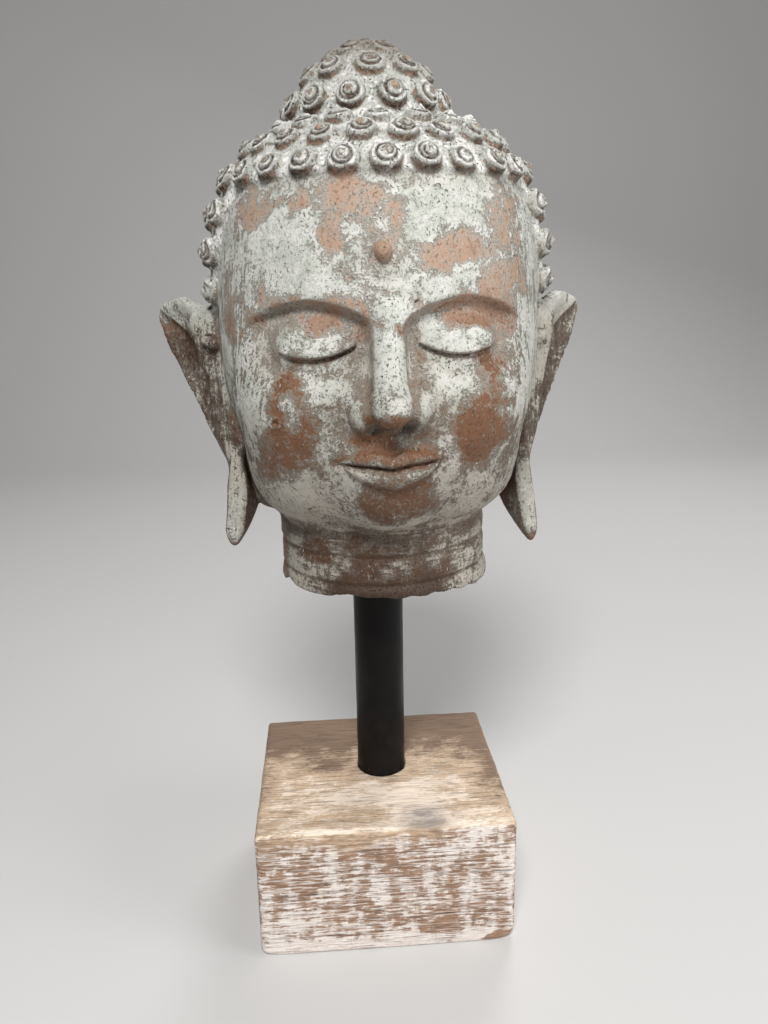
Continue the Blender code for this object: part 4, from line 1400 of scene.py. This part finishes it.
def worn_wood(x, y, z, facing):
    """How far the block is worn in, in millimetres, and what its finish follows."""
    top = step(0.3, 0.8, facing[:, 2])
    end = step(0.5, 0.9, np.abs(facing[:, 0]))
    front = step(0.5, 0.9, -facing[:, 1])
    fibre = unevenness(0.05 * x, y, z, 1.3, 6) + 0.7 * unevenness(0.10 * x, y, z, 0.65, 7)
    grain = (0.16 - 0.08 * end) * fibre + 0.25 * unevenness(0.3 * x, y, z, 12.0, 8)
    brink = np.hypot(HALF_Y + y, TALL - z)
    splinter = unevenness(0.35 * x, y, z, 2.6, 9) + 0.6 * unevenness(0.15 * x, y, z, 0.8, 10)
    chip = step(3.0, 0.5, brink) * np.clip(splinter + 0.25, 0, 1)
    others = np.minimum(np.hypot(HALF_Y - y, TALL - z), np.hypot(HALF_X - np.abs(x), TALL - z))
    others = np.minimum(others, np.hypot(HALF_X - np.abs(x), HALF_Y - np.abs(y)))
    knock = step(2.5, 0.5, others) * np.clip(splinter - 0.05, 0, 1)
    check = checks_in(x, z) * step(0.8, 0.95, np.abs(facing[:, 1]))
    inward = np.clip(0.12 - grain, 0, 1) + 2.1 * chip + 0.9 * knock + 0.6 * check
    inward = inward * step(-0.98, -0.6, facing[:, 2])

    # A tan stain below the front edge, with painted shadow just under the edge
    stained = front * step(9.0, 2.5, TALL - z + 6.0 * unevenness(x, 0, 0, 12.0, 11))
    stained = stained * step(44, 24, np.abs(x + 14))
    broken = front * step(1.25, 0.8, np.hypot((HALF_X - x) / 11, z / 4.5) + 0.5 * splinter)
    foot = step(9, 3, z + 4 * unevenness(x, 0, 0, 9.0, 15)) * (1 - broken)
    # On the top this also carries the painted shadow towards the back
    bare = 0.3 * stained - 0.40 * foot + 1.4 * broken + 0.6 * knock + top * aged_and_shaded(x, y)
    strip = step(5.0, 2.0, HALF_Y + y + 3.4 * unevenness(0.2 * x, y, z, 3.0, 12))
    strip = strip * step(-0.25, 0.1, splinter)
    return inward, {
        "bare": np.clip(bare, -1.0, 1.4),
        # Broken pale wood along the front edge, partly a painted highlight on the edge
        "split": top * np.clip(1.6 * chip + 0.9 * strip, 0, 1),
        "soiled": top * bell(np.hypot((x - 16) / 9.5, (y + 37) / 7.5)),
        "stained": stained,
        "top": top,
        "end": end,
        "check": check,
    }


class BUDDHA_OT_block(bpy.types.Operator):
    """Saw the wooden block, with its grain, checks, chipped edges and worn lime"""

    bl_idname = "buddha.block"
    bl_label = "Wooden Block"

    def execute(self, context):
        looks = context.scene.buddha_block
        grid = BLOCK_GRID
        points, quads = box_shell(BLOCK_LOW, BLOCK_HIGH, grid)
        points, facing = rounded(points, BLOCK_LOW, BLOCK_HIGH, edge_radius(points, looks))
        inward, followed = worn_wood(*(points.T / MM), facing)
        block = object_of("limed_block", points - facing * inward[:, None] * MM, quads.tolist())
        give_attributes(block, followed)
        self.bore(block)
        dress(block, "wood_base", limed_wood(looks))
        return {"FINISHED"}

    def bore(self, block):
        """The blind hole that the post stands in."""
        mesh = bpy.data.meshes.new("bore")
        shape = bmesh.new()
        floor = POST_LOW[2] - FIT_GAP
        ceiling = BLOCK_HIGH[2] + 0.01
        middle = Matrix.Translation((POST_X, POST_Y, (floor + ceiling) / 2))
        radius = POST_RADIUS + FIT_GAP
        bmesh.ops.create_cone(
            shape, segments=64, radius1=radius, radius2=radius, depth=ceiling - floor,
            cap_ends=True, matrix=middle,
        )
        shape.to_mesh(mesh)
        shape.free()
        cutter = placed("bore", mesh)
        cut = block.modifiers.new("bore", "BOOLEAN")
        cut.operation = "DIFFERENCE"
        cut.object = cutter
        settle_modifiers(block)
        bpy.data.objects.remove(cutter)


# ---- the stage ----

# Each soft light: where it hangs and how wide it is, all aimed at one point
LAMPS = (
    ("key", (-0.12, -0.80, 1.02), 0.40),
    ("fill", (1.0, -0.48, 0.42), 0.8),
    ("back", (0.4, 0.9, 1.05), 0.5),
)
LIT_POINT = (0.0, 0.0, 0.2)
# The floor: where it starts to rise behind, the radius of its bend, half its width, its near edge, its top
SWEEP = dict(back=0.9, bend=0.6, half=4.0, near=-3.0, top=3.0)
# The camera: its eye from the middle of the block's top, how it is turned and tipped, and its lens
EYE_PLACE = (-0.0170, -0.3022, 0.1936)
YAW_DEG = 3.95
PITCH_DEG = 15.0
LENS_MM = 28.125


class StageLooks(bpy.types.PropertyGroup):
    """What a user would change of the stage."""

    floor: tint("Floor", "Floor and backdrop", (0.54, 0.53, 0.52))
    key: lamp_power("Key", "Power of the key light", 16.5)
    fill: lamp_power("Fill", "Power of the fill light", 7.7)
    back: lamp_power("Back", "Power of the light behind", 7.0)
    sky: FloatProperty(
        name="Sky", description="Strength of the light from all round", default=0.14, min=0.0,
    )
    off_level: FloatProperty(
        name="Off Level", description="How far the camera is turned, clockwise, in degrees", default=1.0,
    )


def area_light(name, place, size, power):
    """A round soft light aimed at the object."""
    lamp = bpy.data.lights.new(name, "AREA")
    lamp.shape = "DISK"
    lamp.size = size
    lamp.energy = power
    made = placed(name, lamp)
    made.location = place
    made.rotation_euler = (Vector(LIT_POINT) - Vector(place)).to_track_quat("-Z", "Y").to_euler()


class BUDDHA_OT_stage(bpy.types.Operator):
    """Lay the pale floor, hang the soft lights and set up the camera"""

    bl_idname = "buddha.stage"
    bl_label = "Stage"

    def execute(self, context):
        looks = context.scene.buddha_stage
        self.floor(looks)
        for name, place, size in LAMPS:
            area_light(name, place, size, getattr(looks, name))
        world = bpy.data.worlds.new("studio")
        world.use_nodes = True
        world.node_tree.nodes["Background"].inputs["Color"].default_value = (1.0, 1.0, 1.0, 1.0)
        world.node_tree.nodes["Background"].inputs["Strength"].default_value = looks.sky
        context.scene.world = world
        context.scene.view_settings.view_transform = "Standard"
        self.camera(context, looks)
        return {"FINISHED"}

    def floor(self, looks):
        """A floor that sweeps up behind the object."""
        back = SWEEP["back"]
        bend = SWEEP["bend"]
        half = SWEEP["half"]
        turn = np.linspace(0, math.pi / 2, 13)
        arc = [(back + bend * math.sin(a), bend * (1 - math.cos(a))) for a in turn]
        profile = [(SWEEP["near"], 0.0), *arc, (back + bend, SWEEP["top"])]
        points = np.array([(x, y, z) for x in (-half, half) for y, z in profile])
        n = len(profile)
        quads = [(n + i + 1, n + i, i, i + 1) for i in range(n - 1)]
        sweep = object_of("studio_floor", points, quads)
        f = Finish("studio_floor")
        paper = f.between(f.noise(0.25, 3), 0.3, 0.7, 0.82, 0.9)
        sweep.data.materials.append(f.wear(looks.floor, paper))

    def camera(self, context, looks):
        """The eye is a little above the middle of the head, looks down, and is held a little off level."""
        lens = bpy.data.cameras.new("camera")
        lens.sensor_width = 36.0
        lens.lens = LENS_MM
        eye = placed("camera", lens)
        eye.location = Vector(EYE_PLACE) + Vector((0.0, 0.0, BLOCK_HIGH[2]))
        yaw = math.radians(YAW_DEG)
        pitch = math.radians(PITCH_DEG)
        look = Vector((math.sin(yaw) * math.cos(pitch), math.cos(yaw) * math.cos(pitch), -math.sin(pitch)))
        off_level = Matrix.Rotation(-math.radians(looks.off_level), 3, "Z")
        eye.rotation_euler = (look.to_track_quat("-Z", "Y").to_matrix() @ off_level).to_euler()
        context.scene.camera = eye


class BUDDHA_PT_panel(bpy.types.Panel):
    """The pieces and the stage, each with its settings"""

    bl_idname = "BUDDHA_PT_panel"
    bl_label = "Buddha Head"
    bl_space_type = "VIEW_3D"
    bl_region_type = "UI"
    bl_category = "Buddha Head"

    def draw(self, context):
        for operator, group, _ in STEPS:
            box = self.layout.box()
            box.operator(operator.bl_idname)
            settings = getattr(context.scene, group)
            for name in settings.bl_rna.properties.keys():
                if name not in ("name", "rna_type"):
                    box.prop(settings, name)


STEPS = (
    (BUDDHA_OT_head, "buddha_head", HeadLooks),
    (BUDDHA_OT_post, "buddha_post", PostLooks),
    (BUDDHA_OT_block, "buddha_block", BlockLooks),
    (BUDDHA_OT_stage, "buddha_stage", StageLooks),
)


def register():
    for operator, group, looks in STEPS:
        bpy.utils.register_class(looks)
        bpy.utils.register_class(operator)
        setattr(bpy.types.Scene, group, PointerProperty(type=looks))
    bpy.utils.register_class(BUDDHA_PT_panel)


def unregister():
    bpy.utils.unregister_class(BUDDHA_PT_panel)
    for operator, group, looks in reversed(STEPS):
        delattr(bpy.types.Scene, group)
        bpy.utils.unregister_class(operator)
        bpy.utils.unregister_class(looks)


def main():
    """Build every piece and the stage."""
    register()
    bpy.ops.buddha.head()
    bpy.ops.buddha.post()
    bpy.ops.buddha.block()
    bpy.ops.buddha.stage()


if __name__ == "__main__":
    main()
